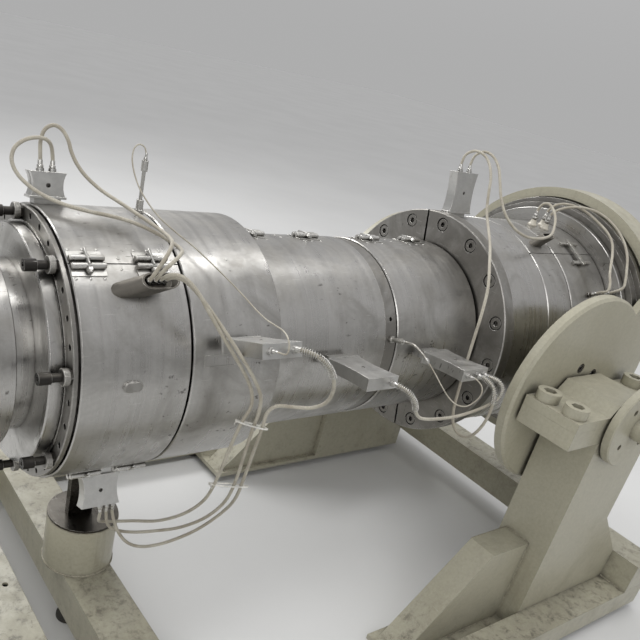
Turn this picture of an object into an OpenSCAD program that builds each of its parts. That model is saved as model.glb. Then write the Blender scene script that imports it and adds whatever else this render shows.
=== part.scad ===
// Pipe extruder die head on its support frame.
// +X runs along the die axis from the mouth to the melt inlet, +Z is up, millimetres.
// The origin is on the floor, at the centre of the foot below the front post.

/* [Layout] */
// Height of the die axis above the floor
axis_h = 1060; // [1000:5:1150]
// Distance from the front post to the front face of the clamp ring
ring_back = 250; // [220:5:290]

/* [Mouth] */
// Outer radius of the mandrel
mandrel_r = 135; // [100:1:150]
// Radial gap between the mandrel and the lip
lip_gap = 25; // [10:1:40]
// Depth of the open annular gap
lip_depth = 60; // [30:5:100]
// Length of the lip ring in front of the face plate
lip_len = 202; // [180:2:230]
// Radius of the lip ring's barrel
lip_r = 225; // [200:1:240]
// Radius of the lip ring's collar
lip_collar_r = 262; // [245:1:290]
// Width of the lip ring's collar
lip_collar_w = 57; // [30:1:70]
// Radius of the lip at the mouth
mouth_r = 198; // [185:1:215]

/* [Front clamp] */
// Radius of the face plate
face_r = 317; // [305:1:322]
// How far the face plate stands in front of the clamp ring
face_len = 40; // [20:5:60]
// Outer radius of the clamp ring
ring_r = 360; // [350:1:368]
// Width of the clamp ring's rim seen from the front
ring_rim = 35; // [28:1:45]
// Thickness of the clamp ring
ring_t = 14; // [10:1:24]
// Number of adjusting screws
adjusters = 8; // [4:1:12]
// Screw holes between two adjusting screws
holes_between = 3; // [1:1:3]
// Radius of a screw hole
hole_r = 8; // [4:0.5:11]
// Length of an adjusting screw in front of the clamp ring
adjuster_len = 78; // [60:1:95]
// Radius of an adjusting screw's lock nut
nut_r = 20; // [16:0.5:24]
// Width of the gap between the clamp ring and the first band
rim_w = 4; // [3:1:10]

/* [Heater bands] */
// Outer radius of the large heater bands
band_r = 366; // [362:1:372]
// Thickness of a heater band
band_t = 20; // [10:1:30]
// Slot between the two halves of a heater band
seam = 3; // [1:0.5:6]
// Width of the first front heater band
band1_w = 294; // [284:2:320]
// Gap between neighbouring heater bands
band_gap = 6; // [3:1:12]
// Width of the second front heater band
band2_w = 282; // [220:2:300]
// Outer radius of the neck heater bands
neck_r = 310; // [290:1:325]
// Width of the first neck heater band
band3_w = 459; // [420:1:480]
// Width of the sensor ring between the neck bands
sensor_ring_w = 54; // [40:2:70]
// Width of the second neck heater band
band4_w = 400; // [360:5:430]
// Outer radius of the rear heater bands
rear_band_r = 410; // [402:1:416]
// Width of the first rear heater band
band5_w = 150; // [120:2:180]
// Width of the second rear heater band
band6_w = 255; // [240:1:280]
// Number of bolts on the step between front body and neck
step_bolts_n = 16; // [8:1:20]

/* [Split flange] */
// Outer radius of the split flange
flange_r = 425; // [412:1:440]
// Thickness of the split flange
flange_t = 52; // [44:1:70]
// Number of flange bolts
flange_bolts_n = 16; // [8:2:20]
// Pitch circle radius of the flange bolts
flange_pcr = 385; // [375:1:392]
// Radius of a flange bolt's head
flange_head_r = 21; // [14:0.5:23]
// Slot between the two halves of the flange
flange_slot = 10; // [4:1:16]

/* [Rear] */
// Length of the bare cylinder behind the split flange
bare_len = 232; // [210:1:260]
// Radius of the bare cylinder behind the split flange
bare_r = 408; // [400:1:415]
// Radius of the rear plate
rear_plate_r = 470; // [450:1:474]
// Thickness of the rear plate
rear_plate_t = 30; // [20:1:40]
// Number of plugs in the rear plate
plugs_n = 8; // [4:1:16]
// Outer radius of the painted housing
housing_r = 560; // [545:1:580]
// Length of the painted housing
housing_len = 120; // [90:5:180]
// Wall of the painted housing
housing_wall = 40; // [20:1:44]
// Radius of the inlet flange
inlet_r = 210; // [180:1:230]
// Length of the inlet neck
inlet_len = 110; // [80:5:160]
// Radius of the melt inlet bore
inlet_bore_r = 60; // [40:1:80]
// Pitch circle radius of the inlet flange
inlet_pcr = 170; // [150:1:185]

/* [Trunnions] */
// Distance of the trunnions behind the front post
trunnion_x = 1676; // [1640:2:1700]
// How far the trunnions lie below the die axis
trunnion_drop = 80; // [60:2:100]
// Radius of a trunnion shaft
shaft_r = 50; // [36:1:60]
// Radius of the large side disc
disc_r = 380; // [340:2:390]
// Thickness of the large side disc
disc_t = 40; // [20:1:50]
// Radius of the small end disc
end_disc_r = 158; // [120:2:180]
// Thickness of the small end disc
end_disc_t = 30; // [20:1:40]
// Distance from the die axis to the inner face of the side disc
disc_y = 480; // [478:1:500]
// Length of a bearing block along the shaft
block_l = 215; // [200:5:240]
// Half width of a bearing block
block_half = 336; // [320:2:345]
// How far a column reaches in front of the trunnion
column_front = 139; // [110:1:160]
// How far a column reaches behind the trunnion
column_back = 240; // [200:5:260]
// Height of the front strut's top above the floor
strut_top = 415; // [380:5:450]
// Height above the floor where the rear gusset leaves the column
knee_top = 500; // [460:5:540]
// Thickness of the cap's bolting lugs
cap_lug_t = 36; // [24:1:50]
// Thickness of the bearing base
base_t = 67; // [64:1:80]
// Wall of the cap over the shaft
cap_wall = 28; // [20:1:40]

/* [Support frame] */
// Height of the beams' top above the floor
beam_top = 270; // [250:5:290]
// Height of a beam
beam_h = 140; // [100:5:150]
// Width of a beam
beam_w = 160; // [120:5:170]
// Wall of a beam
beam_wall = 8; // [4:1:12]
// Height of a side rail
rail_h = 100; // [80:5:110]
// Width of a side rail
rail_w = 120; // [80:5:140]
// Distance from the front post to the front cross beam
front_beam_back = 295; // [250:5:320]
// Distance from the front post to the rear cross beam
rear_beam_x = 2225; // [2210:5:2260]
// Thickness of a pedestal's base plate
base_plate_t = 20; // [12:1:30]
// Radius of the front post
post_r = 112; // [90:1:124]
// Height of the front post above its beam
post_h = 180; // [150:2:200]
// Thickness of the support fin on the post
fin_t = 24; // [12:1:40]
// Width of the support fin
fin_w = 80; // [50:2:100]

/* [Terminal boxes] */
// Width of a terminal box at its ends
box_w = 120; // [100:2:130]
// Width of the small terminal box above the mouth
box_small_w = 96; // [80:2:110]
// Depth of a terminal box
box_d = 38; // [32:1:60]
// Length of the small terminal box above the mouth
box_small = 66; // [50:2:80]
// Length of the terminal box behind the split flange
box_rear = 150; // [110:5:170]
// Length of the boxes at the side
box_long = 175; // [140:5:190]
// Length of the box below the die
box_low = 100; // [80:2:110]
// Length of a terminal box's neck
box_neck = 36; // [20:2:40]
// Height of the front cable outlet above its band
outlet_h = 56; // [40:2:70]
// Height of the rear cable outlet above its band
rear_outlet_h = 42; // [30:2:50]

/* [Hidden] */
sides = [-1, 1];
$fn = 72;
edge = 3;

ring_x = -ring_back;
face_x = ring_x - face_len;
lip_x = face_x - lip_len;
band1_x = ring_x + ring_t + rim_w;
band2_x = band1_x + band1_w + band_gap;
step_x = band2_x + band2_w;
body_r = band_r - band_t;
neck_body_r = neck_r - band_t;
band3_x = step_x + band_gap;
sensor_ring_x = band3_x + band3_w;
band4_x = sensor_ring_x + sensor_ring_w;
flange_x = band4_x + band4_w + band_gap;
bare_x = flange_x + flange_t;
band5_x = bare_x + bare_len;
band6_x = band5_x + band5_w + band_gap;
rear_plate_x = band6_x + band6_w;
backing_x = rear_plate_x + rear_plate_t;
backing_step = 36;
backing_t = 26;
backing_r = housing_r - housing_wall - 5;
housing_x = backing_x + backing_step + backing_t + 6;
housing_end = housing_x + housing_len;
housing_ri = housing_r - housing_wall;
back_wall = 24;
cheek_t = 32;
inlet_x = housing_end;
inlet_flange_t = 36;
shaft_z = axis_h - trunnion_drop;
block_gap = 10;
disc_bolts_n = 6;
disc_bolt_a = 43;
disc_bolt_pcr = shaft_r + 56;
block_y = disc_y + disc_t + block_gap;
block_end = block_y + block_l;
end_disc_y = block_end + block_gap;
saddle_h = base_t + 24;
block_z = shaft_z - saddle_h;
column_y = block_y + 5;
strut_y = block_y + 30;
strut_l = 110;
rail_y = block_end + rail_w / 2;
beam_z = beam_top - beam_h;
rail_z = beam_z - rail_h;
post_top = beam_top + post_h;
front_beam_x = -front_beam_back;
beam_xs = [front_beam_x, 0, rear_beam_x];
beam_half_l = block_end + rail_w;
rail_front = front_beam_x - beam_w / 2;
rail_back = rear_beam_x + beam_w / 2;
adjuster_pcr = ring_r - ring_rim / 2;
seam1_a = 55;
seam1_turn = 250;
seam3_a = 96;
seam6_a = 60;
adjuster_a = 12;
front_latch_r = 6.5;
outlet_a = 44;
rear_outlet_a = 67;
box_neck_w = 70;
low_neck = 14;
waist = 9;
gland_h = 8;
gland_r = 10;
plug_h = outlet_h - 12;
stud_h = 38;
stud_xs = [band6_x + 85, band6_x + 155, band6_x + 120];
stud_as = [88, 88, 83];
pin_h = 16;
pin_xs = [band6_x + 125, band6_x + 220];
pin_a = 35;
foot_r = 44;
top_sensor_x = band1_x + band1_w - 14;
top_sensor_a = 92;
top_sensor_h = 138;
neck_sensor_a = 16;
neck_sensor_h = 54;
low_glands = [6, 26, 46];
side_glands = 36;
rear_glands = 26;
front_glands = 16;
front_box_x = band1_x + 40;
front_box_a = 100;
low_box_x = band1_x + 207;
low_box_a = -74;
rear_box_x = bare_x + 73;
rear_box_a = 98;
side_box_xs = [band2_x + 118, band3_x + 247, band4_x + 150];
side_box_as = [21, 7, 6];
cap_t = 8;

steel = [0.66, 0.64, 0.60];
bright = [0.76, 0.74, 0.70];
dark = [0.20, 0.20, 0.20];
grey = [0.50, 0.49, 0.46];
cream = [0.66, 0.64, 0.53];
zinc = [0.72, 0.71, 0.68];
ivory = [0.80, 0.77, 0.68];

// Places on the die.

// A child whose +Z points away from the die axis: a is 0 towards -Y and 90 at the top.
module radial(x, a, r = 0) {
  translate([x, 0, axis_h]) rotate([90 - a, 0, 0]) translate([0, 0, r]) children();
}

// A child whose +Z points along +X, at radius r and angle a.
module axial(x, a, r) {
  radial(x, a, r) rotate([0, 90, 0]) children();
}

// A round piece about the die axis.
module turned(x, len, r) {
  translate([x, 0, axis_h]) rotate([0, 90, 0]) cylinder(r = r, h = len, $fn = 180);
}

// A ring about the die axis with bevelled outer edges.
module ring(x, len, ro, ri, bevel = edge) {
  translate([x, 0, axis_h]) rotate([0, 90, 0]) rotate_extrude($fn = 180)
    polygon([[ri, 0], [ro - bevel, 0], [ro, bevel], [ro, len - bevel], [ro - bevel, len], [ri, len]]);
}

// A heater band of two shells with its seams at angle a and a + turn.
module heater(x, len, ro, a, turn = 180) {
  difference() {
    ring(x, len, ro, ro - band_t);
    for (side = [0, turn])
      radial(x, a + side, ro - band_t / 2)
        translate([-1, -seam / 2, -band_t]) cube([len + 2, seam, 2 * band_t]);
  }
}

// An outline with two round ends along X.
module stadium(len, r) {
  translate([-len / 2, 0]) circle(r);
  translate([len / 2, 0]) circle(r);
  translate([-len / 2, -r]) square([len, 2 * r]);
}

// A socket head cap screw standing on its seat, head up.
module cap_screw(r, h, socket = 0.5) {
  difference() {
    cylinder(r = r, h = h);
    translate([0, 0, h * 0.45]) cylinder(r = r * socket, h = h, $fn = 6);
  }
}

// Mouth.

module mandrel() {
  color(steel) translate([lip_x - 12, 0, axis_h]) rotate([0, 90, 0]) difference() {
    rotate_extrude($fn = 180)
      polygon([[0, 0], [mandrel_r - 6, 0], [mandrel_r, 6], [mandrel_r, lip_len + 12], [0, lip_len + 12]]);
    translate([0, 0, -1]) cylinder(r = mandrel_r * 0.4, h = 46);
    for (k = [0:5]) rotate([0, 0, k * 60 + 30]) translate([mandrel_r * 0.7, 0, -1]) cylinder(r = 9, h = 21);
  }
}

module lip_ring() {
  collar_x = lip_len - lip_collar_w - 55;
  color(steel) translate([lip_x, 0, axis_h]) rotate([0, 90, 0]) difference() {
    rotate_extrude($fn = 180)
      polygon([
        [mandrel_r, 0],
        [mouth_r, 0],
        [mouth_r, 14],
        [lip_r, collar_x],
        [lip_collar_r - 2, collar_x],
        [lip_collar_r, collar_x + 2],
        [lip_collar_r, collar_x + lip_collar_w - 2],
        [lip_collar_r - 2, collar_x + lip_collar_w],
        [lip_r, collar_x + lip_collar_w],
        [lip_r, lip_len],
        [mandrel_r, lip_len],
      ]);
    translate([0, 0, -1]) cylinder(r = mandrel_r + lip_gap, h = lip_depth + 1, $fn = 180);
  }
}

// Front clamp.

module face_plate() {
  shoulder_r = ring_r - ring_rim;
  color(grey) {
    ring(face_x, face_len - 5, face_r, 0);
    turned(ring_x - 5, ring_t + 5, shoulder_r);
  }
}

module clamp_ring() {
  positions = adjusters * (holes_between + 1);
  color(grey) difference() {
    ring(ring_x, ring_t, ring_r, ring_r - ring_rim, 2);
    for (k = [0:positions - 1])
      if (k % (holes_between + 1) != 0)
        axial(ring_x - 1, adjuster_a + k * 360 / positions, adjuster_pcr) cylinder(r = hole_r, h = ring_t + 2);
  }
}

module adjusting_screws() {
  for (k = [0:adjusters - 1])
    axial(ring_x, adjuster_a + k * 360 / adjusters, adjuster_pcr) rotate([180, 0, 0]) color(dark) {
      cylinder(r = nut_r, h = 14, $fn = 6);
      cylinder(r = 11, h = adjuster_len - 26);
      translate([0, 0, adjuster_len - 30]) cap_screw(15, 30);
    }
}

module front_body() {
  color(steel) {
    turned(ring_x + ring_t, rim_w, body_r + 5);
    turned(band1_x, step_x - band1_x, body_r);
  }
}

module step_bolts() {
  for (k = [0:step_bolts_n - 1])
    axial(step_x, 12.5 + k * 360 / step_bolts_n, body_r - 15) color(bright) rotate_extrude()
      polygon([[0, 0], [14, 0], [14, 12], [10, 19], [4, 22], [0, 22]]);
}

// Heater bands.

module front_band_1() {
  color(bright) {
    heater(band1_x, band1_w, band_r, seam1_a, seam1_turn);
    // Oval boss over a sensor well.
    difference() {
      radial(band1_x + 132, 7, band_r - 6) linear_extrude(12) stadium(22, 14);
      turned(band1_x, band1_w, band_r - 3);
    }
  }
}

module front_band_2() {
  color(bright) heater(band2_x, band2_w, band_r, seam1_a + 60);
}

module neck_band_1() {
  color(steel) heater(band3_x, band3_w, neck_r, seam3_a);
}

module neck_band_2() {
  color(steel) heater(band4_x, band4_w, neck_r, seam3_a);
}

module rear_band_1() {
  color(steel) heater(band5_x, band5_w, rear_band_r, seam6_a);
}

module rear_band_2() {
  color(steel) heater(band6_x, band6_w, rear_band_r, seam6_a);
}

// A latch over a seam: two knuckled rollers joined by a cross bolt with a dome nut.
module latch(x, a, r, len = 62, spread = 9, roller_r = 6) {
  axis_r = r + 2 + roller_r - 0.5;
  radial(x, a) {
    for (s = [-1, 1]) {
      intersection() {
        rotate([0, 90, 0]) difference() {
          cylinder(r = r + 2, h = len, center = true, $fn = 180);
          cylinder(r = r, h = len + 2, center = true, $fn = 180);
        }
        translate([-len / 2, s > 0 ? spread - 6 : -spread - 24, 0]) cube([len, 30, r + 20]);
      }
      translate([0, s * spread, axis_r]) rotate([0, 90, 0]) cylinder(r = roller_r, h = len, center = true, $fn = 32);
    }
    translate([0, -spread - 20, axis_r]) rotate([-90, 0, 0]) {
      cylinder(r = 3.5, h = 2 * spread + 44, $fn = 24);
      translate([0, 0, 4]) cylinder(r = 9, h = 8, $fn = 6);
      cylinder(r = 6, h = 5, $fn = 24);
    }
  }
}

module front_latches() {
  color(zinc) {
    for (x = [band1_x + 46, band1_x + 216]) latch(x, seam1_a, band_r, 88, 11, front_latch_r);
    for (x = [band1_x + 110, band1_x + 246]) latch(x, seam1_a + seam1_turn, band_r, 88, 11, front_latch_r);
  }
}

module neck_latches() {
  color(zinc) for (x = [band3_x + 90, band3_x + 310, band4_x + 80, band4_x + 290]) {
    latch(x, seam3_a, neck_r, 90);
    latch(x, seam3_a + 180, neck_r, 90);
  }
}

// A latch of two cross bars over a seam, drawn together by a flat strap.
module bar_latch(x, a, r, len = 116, spread = 6.5) {
  bar_h = 12;
  for (s = [-1, 1]) difference() {
    radial(x, a + s * spread, r - 6) translate([-len / 2, -6, 0]) cube([len, 12, bar_h + 6]);
    turned(x - len, 2 * len, r);
  }
  strap_l = 2 * r * sin(spread) + 34;
  radial(x - 8, a, r * cos(spread) + bar_h) translate([-9, -strap_l / 2, 0]) cube([18, strap_l, 7]);
}

module rear_latches() {
  color(zinc) for (a = [seam6_a, seam6_a + 180]) bar_latch(band6_x + 140, a, rear_band_r);
}

// A hooded cable outlet that leans towards +X, with its mouth level with the band and a recessed plug.
module outlet(x, a, r, h, len, half) {
  recess = 12;
  wall = 4;
  difference() {
    intersection() {
      radial(x, a, r - 30) rotate([0, 45, 0]) linear_extrude(3 * h + 60) stadium(len, half);
      turned(x - 3 * h, 6 * h + 200, r + h);
    }
    turned(x - 3 * h, 6 * h + 200, r);
    difference() {
      radial(x, a, r - 30) rotate([0, 45, 0]) linear_extrude(3 * h + 60) stadium(len, half - wall);
      turned(x - 3 * h, 6 * h + 200, r + h - recess);
    }
  }
}

// A terminal stud on a ceramic cone.
module stud(x, a, r) {
  radial(x, a, r) rotate_extrude()
    polygon([[0, 0], [16, 0], [16, 4], [12, 8], [8, 22], [8, 28], [6, 28], [6, stud_h], [0, stud_h]]);
}

module cable_outlets() {
  color(steel) {
    outlet(band1_x + 112, outlet_a, band_r, outlet_h, 30, 21);
    outlet(band5_x + 50, rear_outlet_a, rear_band_r, rear_outlet_h, 22, 15);
  }
  color(zinc) {
    for (k = [0:2]) stud(stud_xs[k], stud_as[k], rear_band_r);
    for (x = pin_xs) radial(x, pin_a, rear_band_r) {
      cylinder(r = 11, h = 6, $fn = 6);
      cylinder(r = 8, h = pin_h);
    }
  }
}

// Neck and sensors.

module neck_body() {
  color(steel) turned(step_x, bare_x - step_x, neck_body_r);
}

module sensor_ring() {
  color(grey) difference() {
    ring(sensor_ring_x + 1, sensor_ring_w - 2, neck_r - 5, neck_body_r, 2);
    radial(sensor_ring_x + sensor_ring_w / 2, 28, neck_r - 18) cylinder(r = 7, h = 40);
  }
}

module neck_sensor() {
  head = 14;
  color(zinc) radial(sensor_ring_x + sensor_ring_w / 2, neck_sensor_a, neck_r - 5) {
    cylinder(r = 12, h = 10, $fn = 6);
    translate([0, 0, 10]) cylinder(r = 7, h = neck_sensor_h - head - 10);
    translate([0, 0, neck_sensor_h - head]) cylinder(r = 9, h = head);
  }
}

module top_sensor() {
  head = 28;
  color(zinc) radial(top_sensor_x, top_sensor_a, band_r) {
    cylinder(r = 14, h = 8, $fn = 6);
    translate([0, 0, 8]) cylinder(r = 10, h = 26);
    translate([0, 0, 34]) cylinder(r = 5, h = top_sensor_h - head - 34);
    translate([0, 0, top_sensor_h - head]) cylinder(r = 9, h = head);
  }
}

// Split flange.

module split_flange() {
  seat = 27;
  color(grey) difference() {
    ring(flange_x, flange_t, flange_r, neck_body_r);
    for (a = [101.25, 281.25])
      radial(flange_x, a, flange_r / 2)
        translate([-1, -flange_slot / 2, 0]) cube([flange_t + 2, flange_slot, flange_r]);
    for (k = [0:flange_bolts_n - 1])
      axial(flange_x - 1, k * 360 / flange_bolts_n, flange_pcr) cylinder(r = flange_head_r + 4, h = seat);
  }
}

module flange_bolts() {
  for (k = [0:flange_bolts_n - 1])
    axial(flange_x + 26, k * 360 / flange_bolts_n, flange_pcr) rotate([180, 0, 0])
      color(dark) cap_screw(flange_head_r, 24);
}

// Rear.

module rear_body() {
  color(bright) {
    ring(bare_x, bare_len, bare_r, 0);
    turned(band5_x, rear_plate_x - band5_x, rear_band_r - band_t);
  }
}

module rear_plate() {
  color(grey) difference() {
    ring(rear_plate_x, rear_plate_t, rear_plate_r, 0, 2);
    for (k = [0:plugs_n - 1])
      axial(rear_plate_x - 1, 4 + k * 360 / plugs_n, rear_plate_r - 26) cylinder(r = 15, h = 9);
  }
}

module rear_plugs() {
  for (k = [0:plugs_n - 1])
    axial(rear_plate_x + 1, 4 + k * 360 / plugs_n, rear_plate_r - 26) color(steel) cylinder(r = 13, h = 7);
}

module backing_ring() {
  color(grey) {
    // The flats leave room for the housing's cheeks.
    translate([backing_x, 0, axis_h]) rotate([0, 90, 0]) intersection() {
      union() {
        cylinder(r = backing_r - 22, h = backing_step, $fn = 180);
        translate([0, 0, backing_step]) cylinder(r = backing_r, h = backing_t, $fn = 180);
      }
      translate([-housing_r, -disc_y + cheek_t + 1, -1])
        cube([2 * housing_r, 2 * (disc_y - cheek_t - 1), backing_step + backing_t + 2]);
    }
    turned(housing_x - 6, housing_end - back_wall - housing_x + 6, inlet_r - 20);
  }
}

module housing_outline() {
  intersection() {
    circle(r = housing_r, $fn = 180);
    square([3 * housing_r, 2 * disc_y], center = true);
  }
}

module housing() {
  cheek_half = 130;
  cheek_wide = 262;
  color(cream) {
    translate([housing_x, 0, axis_h]) rotate([0, 90, 0]) difference() {
      linear_extrude(housing_len) housing_outline();
      translate([0, 0, -1]) linear_extrude(housing_len - back_wall + 1) intersection() {
        circle(r = housing_ri, $fn = 180);
        square([3 * housing_r, 2 * (disc_y - cheek_t)], center = true);
      }
    }
    for (s = sides) difference() {
      translate([0, s * (disc_y - cheek_t / 2) + cheek_t / 2, 0]) rotate([90, 0, 0]) linear_extrude(cheek_t)
        polygon([
          [trunnion_x - cheek_half, shaft_z - cheek_half],
          [trunnion_x + cheek_half + 60, shaft_z - cheek_half],
          [housing_x - 60, axis_h - cheek_wide],
          [housing_x + 30, axis_h - cheek_wide],
          [housing_x + 30, axis_h + cheek_wide],
          [housing_x - 60, axis_h + cheek_wide],
          [trunnion_x + cheek_half + 60, shaft_z + cheek_half],
          [trunnion_x - cheek_half, shaft_z + cheek_half],
        ]);
      turned(rear_plate_x - 2, rear_plate_t + 4, rear_plate_r + 2);
    }
  }
}

module inlet_neck() {
  holes = 8;
  color(steel) translate([inlet_x, 0, axis_h]) rotate([0, 90, 0]) difference() {
    rotate_extrude($fn = 180)
      polygon([
        [0, 0],
        [inlet_r - 50, 0],
        [inlet_r - 70, 20],
        [inlet_r - 70, inlet_len - inlet_flange_t],
        [inlet_r, inlet_len - inlet_flange_t],
        [inlet_r, inlet_len - 2],
        [inlet_r - 2, inlet_len],
        [0, inlet_len],
      ]);
    translate([0, 0, inlet_len - 90]) cylinder(r = inlet_bore_r, h = 91);
    for (k = [0:holes - 1]) rotate([0, 0, (k + 0.5) * 360 / holes])
      translate([inlet_pcr, 0, inlet_len - inlet_flange_t - 1]) cylinder(r = 11, h = inlet_flange_t + 2);
  }
}

// Trunnions: s is -1 on the near side and 1 on the far side.

// A child whose +Z points away from the die along the trunnion shaft.
module on_shaft(s, y) {
  translate([trunnion_x, s * y, shaft_z]) rotate([s > 0 ? -90 : 90, 0, 0]) children();
}

module side_disc(s) {
  color(cream) on_shaft(s, disc_y) difference() {
    rotate_extrude($fn = 180)
      polygon([[0, 0], [disc_r, 0], [disc_r, disc_t - 10], [disc_r - 10, disc_t], [0, disc_t]]);
    for (k = [0:disc_bolts_n - 1]) rotate([0, 0, disc_bolt_a + k * 360 / disc_bolts_n])
      translate([disc_bolt_pcr, 0, disc_t - 16]) cylinder(r = 20, h = 17);
  }
}

module disc_bolts(s) {
  color(dark) on_shaft(s, disc_y + disc_t - 16)
    for (k = [0:disc_bolts_n - 1]) rotate([0, 0, disc_bolt_a + k * 360 / disc_bolts_n])
      translate([disc_bolt_pcr, 0, 0]) cap_screw(15, 15);
}

module shaft(s) {
  color(steel) on_shaft(s, disc_y + disc_t) cylinder(r = shaft_r, h = end_disc_y - disc_y - disc_t);
}

module end_disc(s) {
  color(cream) on_shaft(s, end_disc_y) difference() {
    union() {
      rotate_extrude($fn = 120)
        polygon([[0, 0], [end_disc_r, 0], [end_disc_r, end_disc_t - 4], [end_disc_r - 4, end_disc_t], [0, end_disc_t]]);
      cylinder(r = 44, h = end_disc_t + 40);
    }
    translate([0, 0, 20]) cylinder(r = 26, h = 80);
    for (k = [0:3]) rotate([0, 0, 45 + k * 90]) translate([end_disc_r * 0.62, 0, -1]) cylinder(r = 11, h = 80);
  }
}

module bearing_base(s) {
  color(cream) translate([trunnion_x, s * (block_y + block_l / 2), shaft_z]) rotate([90, 0, 0]) difference() {
    translate([0, 0, -block_l / 2]) linear_extrude(block_l)
      polygon([
        [-block_half, 0],
        [-block_half, -base_t],
        [-column_front, -base_t],
        [-column_front, -saddle_h],
        [column_back, -saddle_h],
        [column_back, -base_t],
        [block_half, -base_t],
        [block_half, 0],
      ]);
    cylinder(r = shaft_r, h = block_l + 2, center = true);
  }
}

module bearing_cap(s) {
  top = shaft_r + cap_wall;
  lug = 190;
  color(cream) translate([trunnion_x, s * (block_y + block_l / 2), shaft_z]) rotate([90, 0, 0]) difference() {
    translate([0, 0, -block_l / 2]) linear_extrude(block_l)
      polygon([
        [-block_half, 0],
        [block_half, 0],
        [block_half, cap_lug_t],
        [block_half - lug, cap_lug_t],
        [block_half - lug - 38, top],
        [lug + 38 - block_half, top],
        [lug - block_half, cap_lug_t],
        [-block_half, cap_lug_t],
      ]);
    cylinder(r = shaft_r, h = block_l + 2, center = true);
  }
}

module bearing_screws(s) {
  for (x = sides, y = sides)
    translate([
      trunnion_x + x * (block_half - 47),
      s * (block_y + block_l / 2) + y * (block_l / 2 - 52),
      shaft_z + cap_lug_t,
    ]) color(cream) cap_screw(42, 36, 0.56);
}

module pedestal(s) {
  foot_z = rail_z + base_plate_t;
  gusset_x = rear_beam_x - beam_w / 2 - trunnion_x;
  color(cream) {
    translate([trunnion_x, s > 0 ? block_end : -column_y, 0]) rotate([90, 0, 0])
      linear_extrude(block_end - column_y) polygon([
        [-column_front, block_z],
        [column_back, block_z],
        [column_back, knee_top],
        [gusset_x, beam_top],
        [gusset_x, foot_z],
        [-column_front, foot_z],
      ]);
    translate([trunnion_x, s > 0 ? strut_y + strut_l : -strut_y, 0]) rotate([90, 0, 0])
      linear_extrude(strut_l) polygon([
        [-column_front, strut_top],
        [-column_front - 217, strut_top],
        [-column_front - 217 - 0.953 * (strut_top - foot_z), foot_z],
        [-column_front, foot_z],
      ]);
    translate([trunnion_x - column_front - 600, s > 0 ? column_y : -block_end, rail_z])
      cube([column_front + 600 + gusset_x, block_end - column_y, base_plate_t]);
  }
}

// Support frame.

// A hollow rectangular beam along +Z, centred on its axis: h along X and w along Y.
module hollow_beam(len, w, h) {
  difference() {
    translate([-h / 2, -w / 2, 0]) cube([h, w, len]);
    translate([-h / 2 + beam_wall, -w / 2 + beam_wall, -1]) cube([h - 2 * beam_wall, w - 2 * beam_wall, len + 2]);
  }
}

module side_rail(s) {
  color(cream) translate([rail_front, s * rail_y, rail_z + rail_h / 2]) rotate([0, 90, 0])
    hollow_beam(rail_back - rail_front, rail_w, rail_h);
}

// A closing plate of w by h for the end of a hollow beam, normal to +X.
module end_cap(w, h) {
  side = w - 2 * beam_wall - 1;
  height = h - 2 * beam_wall - 1;
  translate([0, -side / 2, -height / 2]) cube([cap_t, side, height]);
}

// Plates that close the ends of the rails and of the cross beams.
module rail_caps() {
  color(cream) {
    for (s = sides, x = [rail_front, rail_back - cap_t])
      translate([x, s * rail_y, rail_z + rail_h / 2]) end_cap(rail_w, rail_h);
    for (s = sides, x = beam_xs)
      translate([x, s * beam_half_l - (s > 0 ? cap_t : 0), beam_z + beam_h / 2]) rotate([0, 0, 90])
        end_cap(beam_w, beam_h);
  }
}

module cross_beam(x) {
  color(cream) difference() {
    translate([x, beam_half_l, beam_z + beam_h / 2]) rotate([90, 0, 0]) rotate([0, 0, 90])
      hollow_beam(2 * beam_half_l, beam_w, beam_h);
    // A drilled hole in the top wall on the near half.
    translate([x + beam_w / 4, -60, beam_top - beam_wall - 1]) cylinder(r = 9, h = beam_wall + 2);
  }
}

module foot(h) {
  color(dark) {
    cylinder(r = foot_r, h = 10);
    translate([0, 0, 10]) cylinder(r = 22, h = 10, $fn = 6);
    translate([0, 0, 20]) cylinder(r = 14, h = h - 20);
  }
}

module feet() {
  foot(beam_z);
  for (x = [rail_front + 80, (rail_front + rail_back) / 2, rail_back - 80], s = sides)
    translate([x, s * rail_y, 0]) foot(rail_z);
  for (x = [trunnion_x - 560, trunnion_x + 100], s = sides)
    translate([x, s * (column_y + 80), 0]) foot(rail_z);
}

module post() {
  color(cream) translate([0, 0, beam_top]) cylinder(r = post_r, h = post_h - 8, $fn = 120);
}

module post_cap() {
  color(dark) translate([0, 0, post_top - 8]) cylinder(r = post_r, h = 8, $fn = 120);
}

module post_fin() {
  // It stands on the post and ends flush below the first band.
  color(dark) difference() {
    translate([0, fin_t / 2, 0]) rotate([90, 0, 0]) linear_extrude(fin_t)
      polygon([
        [-fin_w * 0.7, post_top],
        [fin_w * 0.3, post_top],
        [fin_w * 0.2, axis_h - band_r + 20],
        [-fin_w * 0.76, axis_h - band_r + 20],
      ]);
    turned(band1_x, band1_w, band_r);
  }
}

// Terminal boxes.

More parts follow.
